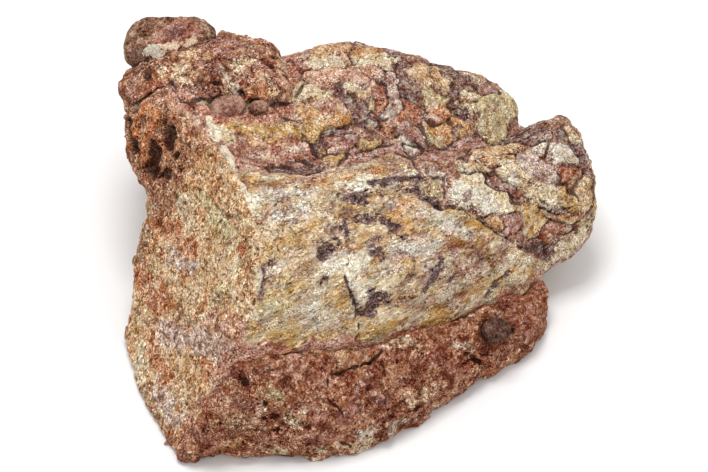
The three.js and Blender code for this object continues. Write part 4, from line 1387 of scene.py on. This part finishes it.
def sandstone_material(name, red, tan, hollow, pebbly):
    """Gravelly sandstone in two tones; pebbly is how strongly its grains show."""
    paint = Paint(name)
    mottle = paint.noise(3.0, 4.0, 1.0)
    coarse = paint.noise(0.8, 2.0, 1.0)
    grit = paint.noise(0.30, 1.0, 1.0)
    tone = paint.two_tones(paint.noise(4.0, 3.0, 0.7), 0.42, 0.58, red, tan)
    grains = paint.times(paint.ragged(paint.mask("grain"), coarse, 3.0), pebbly)
    tone = paint.blend(grains, tone, paint.tones(paint.mask("kind"), GRAIN_STOPS))
    inside = paint.ragged(paint.mask("inside"), mottle, 4.0)
    tone = paint.blend(paint.times(inside, 0.75), tone, paint.tint())
    tone = paint.wash(tone, paint.noise(2.6, 4.0, 0.9), 0.59, 0.64, CHIP_CREAM, 0.65)
    tone = paint.varied(tone, paint.detail((2.6, paint.noise(3.0, 2.0, 0.7))))
    gritty = paint.times(paint.spread(paint.noise(3.4, 3.0, 0.7), 0.42, 0.60), paint.mask("gritty"))
    rough = paint.sum((1.6, gritty), (0.9, 1.0))
    chip = paint.chips(0.55)
    tone = paint.shifted(tone, paint.detail((0.3, mottle), (0.3, coarse), (rough, grit), (0.45, chip)))
    # painted shade: the low spots of the relief are darkened
    tone = paint.blend(1.0, tone, paint.tones(paint.mask("high"), PAINTED_SHADE_STOPS), "MULTIPLY")
    # painted shade in the holes, hollows and cracks
    tone = paint.lay(tone, paint.ragged(paint.mask("hole"), coarse, 2.0), hollow, 0.85)
    line = paint.times(paint.hairlines(5.0, 1.5, 1.6), paint.ramp(mottle, 0.49, 0.52))
    tone = paint.lay(tone, line, SANDSTONE_LINE, 0.8)
    specks = paint.times(paint.spots(0.71, 0.57, 0.61), gritty)
    # painted highlight flecks
    highlight_flecks = paint.spots(0.62, 0.59, 0.63)
    tone = paint.shifted(tone, paint.sum((-0.22, specks), (0.15, highlight_flecks), (-0.2, paint.crinkle())))
    height = paint.sum((0.2, grit), (0.4, coarse), (0.6, mottle), (0.15, chip), (-0.3, line))
    return paint.finish(tone, height, 0.7, paint.ramp(coarse, -0.7, 0.8))


def stone_material(name, dark, light, strength, marks):
    """A worn stone in two tones, mottled as strongly as strength says, with the tones of its marks."""
    paint = Paint(name)
    mottle = paint.noise(4.0, 5.0, 0.9)
    coarse = paint.noise(0.8, 2.0, 1.0)
    grit = paint.noise(0.36, 1.0, 1.0)
    tone = paint.two_tones(mottle, 0.42, 0.58, dark, light)
    for number, mark_tone in enumerate(marks):
        inside = paint.ragged(paint.mask(f"mark{number}"), mottle, 5.0, 0.35, 0.65)
        tone = paint.lay(tone, inside, mark_tone, 0.75)
    tone = paint.varied(tone, paint.detail((0.6 * strength, mottle)))
    tone = paint.shifted(tone, paint.detail((0.08 * strength, coarse), (0.10 * strength, grit)))
    # painted shade in the pits
    tone = paint.lay(tone, paint.mask("hole"), STONE_PIT_SHADE, 0.7)
    height = paint.sum((0.4, grit), (0.4, coarse), (0.5, mottle))
    return paint.finish(tone, height, 0.5, paint.ramp(grit, -0.6, 0.9))


def floor_material():
    paint = Paint("floor")
    tone = paint.tones(paint.noise(60.0, 2.0), FLOOR_STOPS)
    return paint.finish(tone, paint.noise(1.0, 2.0), 0.01, paint.ramp(paint.noise(20.0), -1.0, 1.2))


# ---- pieces --------------------------------------------------------------------------------------

def add_floor():
    mesh = bpy.data.meshes.new("floor")
    turns = ((-1, -1), (1, -1), (1, 1), (-1, 1))
    corners = [(x * FLOOR_HALF, y * FLOOR_HALF, FLOOR_LEVEL) for x, y in turns]
    mesh.from_pydata(corners, [], [(0, 1, 2, 3)])
    mesh.materials.append(floor_material())
    floor = bpy.data.objects.new("floor", mesh)
    link(floor)


def add_bone(tree):
    add_surface("bone_surface", "vertebra_bone", BONE_NET, tree, bone_relief, BonePaint().build())


def add_sandstone(node_name, name, tree, relief, tones, pebbly):
    material = sandstone_material(name, *tones, pebbly)
    add_surface(node_name + "_surface", node_name, SANDSTONE_NET, tree, relief, material)


def add_stone(node_name, rough, seed, tones, strength, marks=(), sunk=0.0):
    """marks are (radius, places, tone)."""
    relief = stone_relief(seed, rough, [mark[:2] for mark in marks], sunk)
    material = stone_material(node_name.replace("_", " "), *tones, strength, [mark[2] for mark in marks])
    add_surface(node_name + "_surface", node_name, STONE_NET, None, relief, material)


def add_stones():
    add_stone("corner_cobble", 1.0, 503, COBBLE, 7.0, COBBLE_MARKS)
    add_stone("flat_pebble", 1.5, 521, FLAT_PEBBLE, 5.0)
    add_stone("small_pebble", 1.3, 541, SMALL_PEBBLE, 6.0)
    add_stone("dark_pebble", 0.8, 557, DARK_PEBBLE, 5.0, sunk=0.7)


add_camera()
add_sky()
add_key_light()
add_floor()
camera_tree = sight_tree()
add_bone(camera_tree)
add_sandstone("lower_matrix", "red sandstone", camera_tree, lower_relief, LOWER_STONE, 0.45)
add_sandstone("upper_matrix", "gravelly sandstone", camera_tree, upper_relief, UPPER_STONE, 0.75)
add_stones()
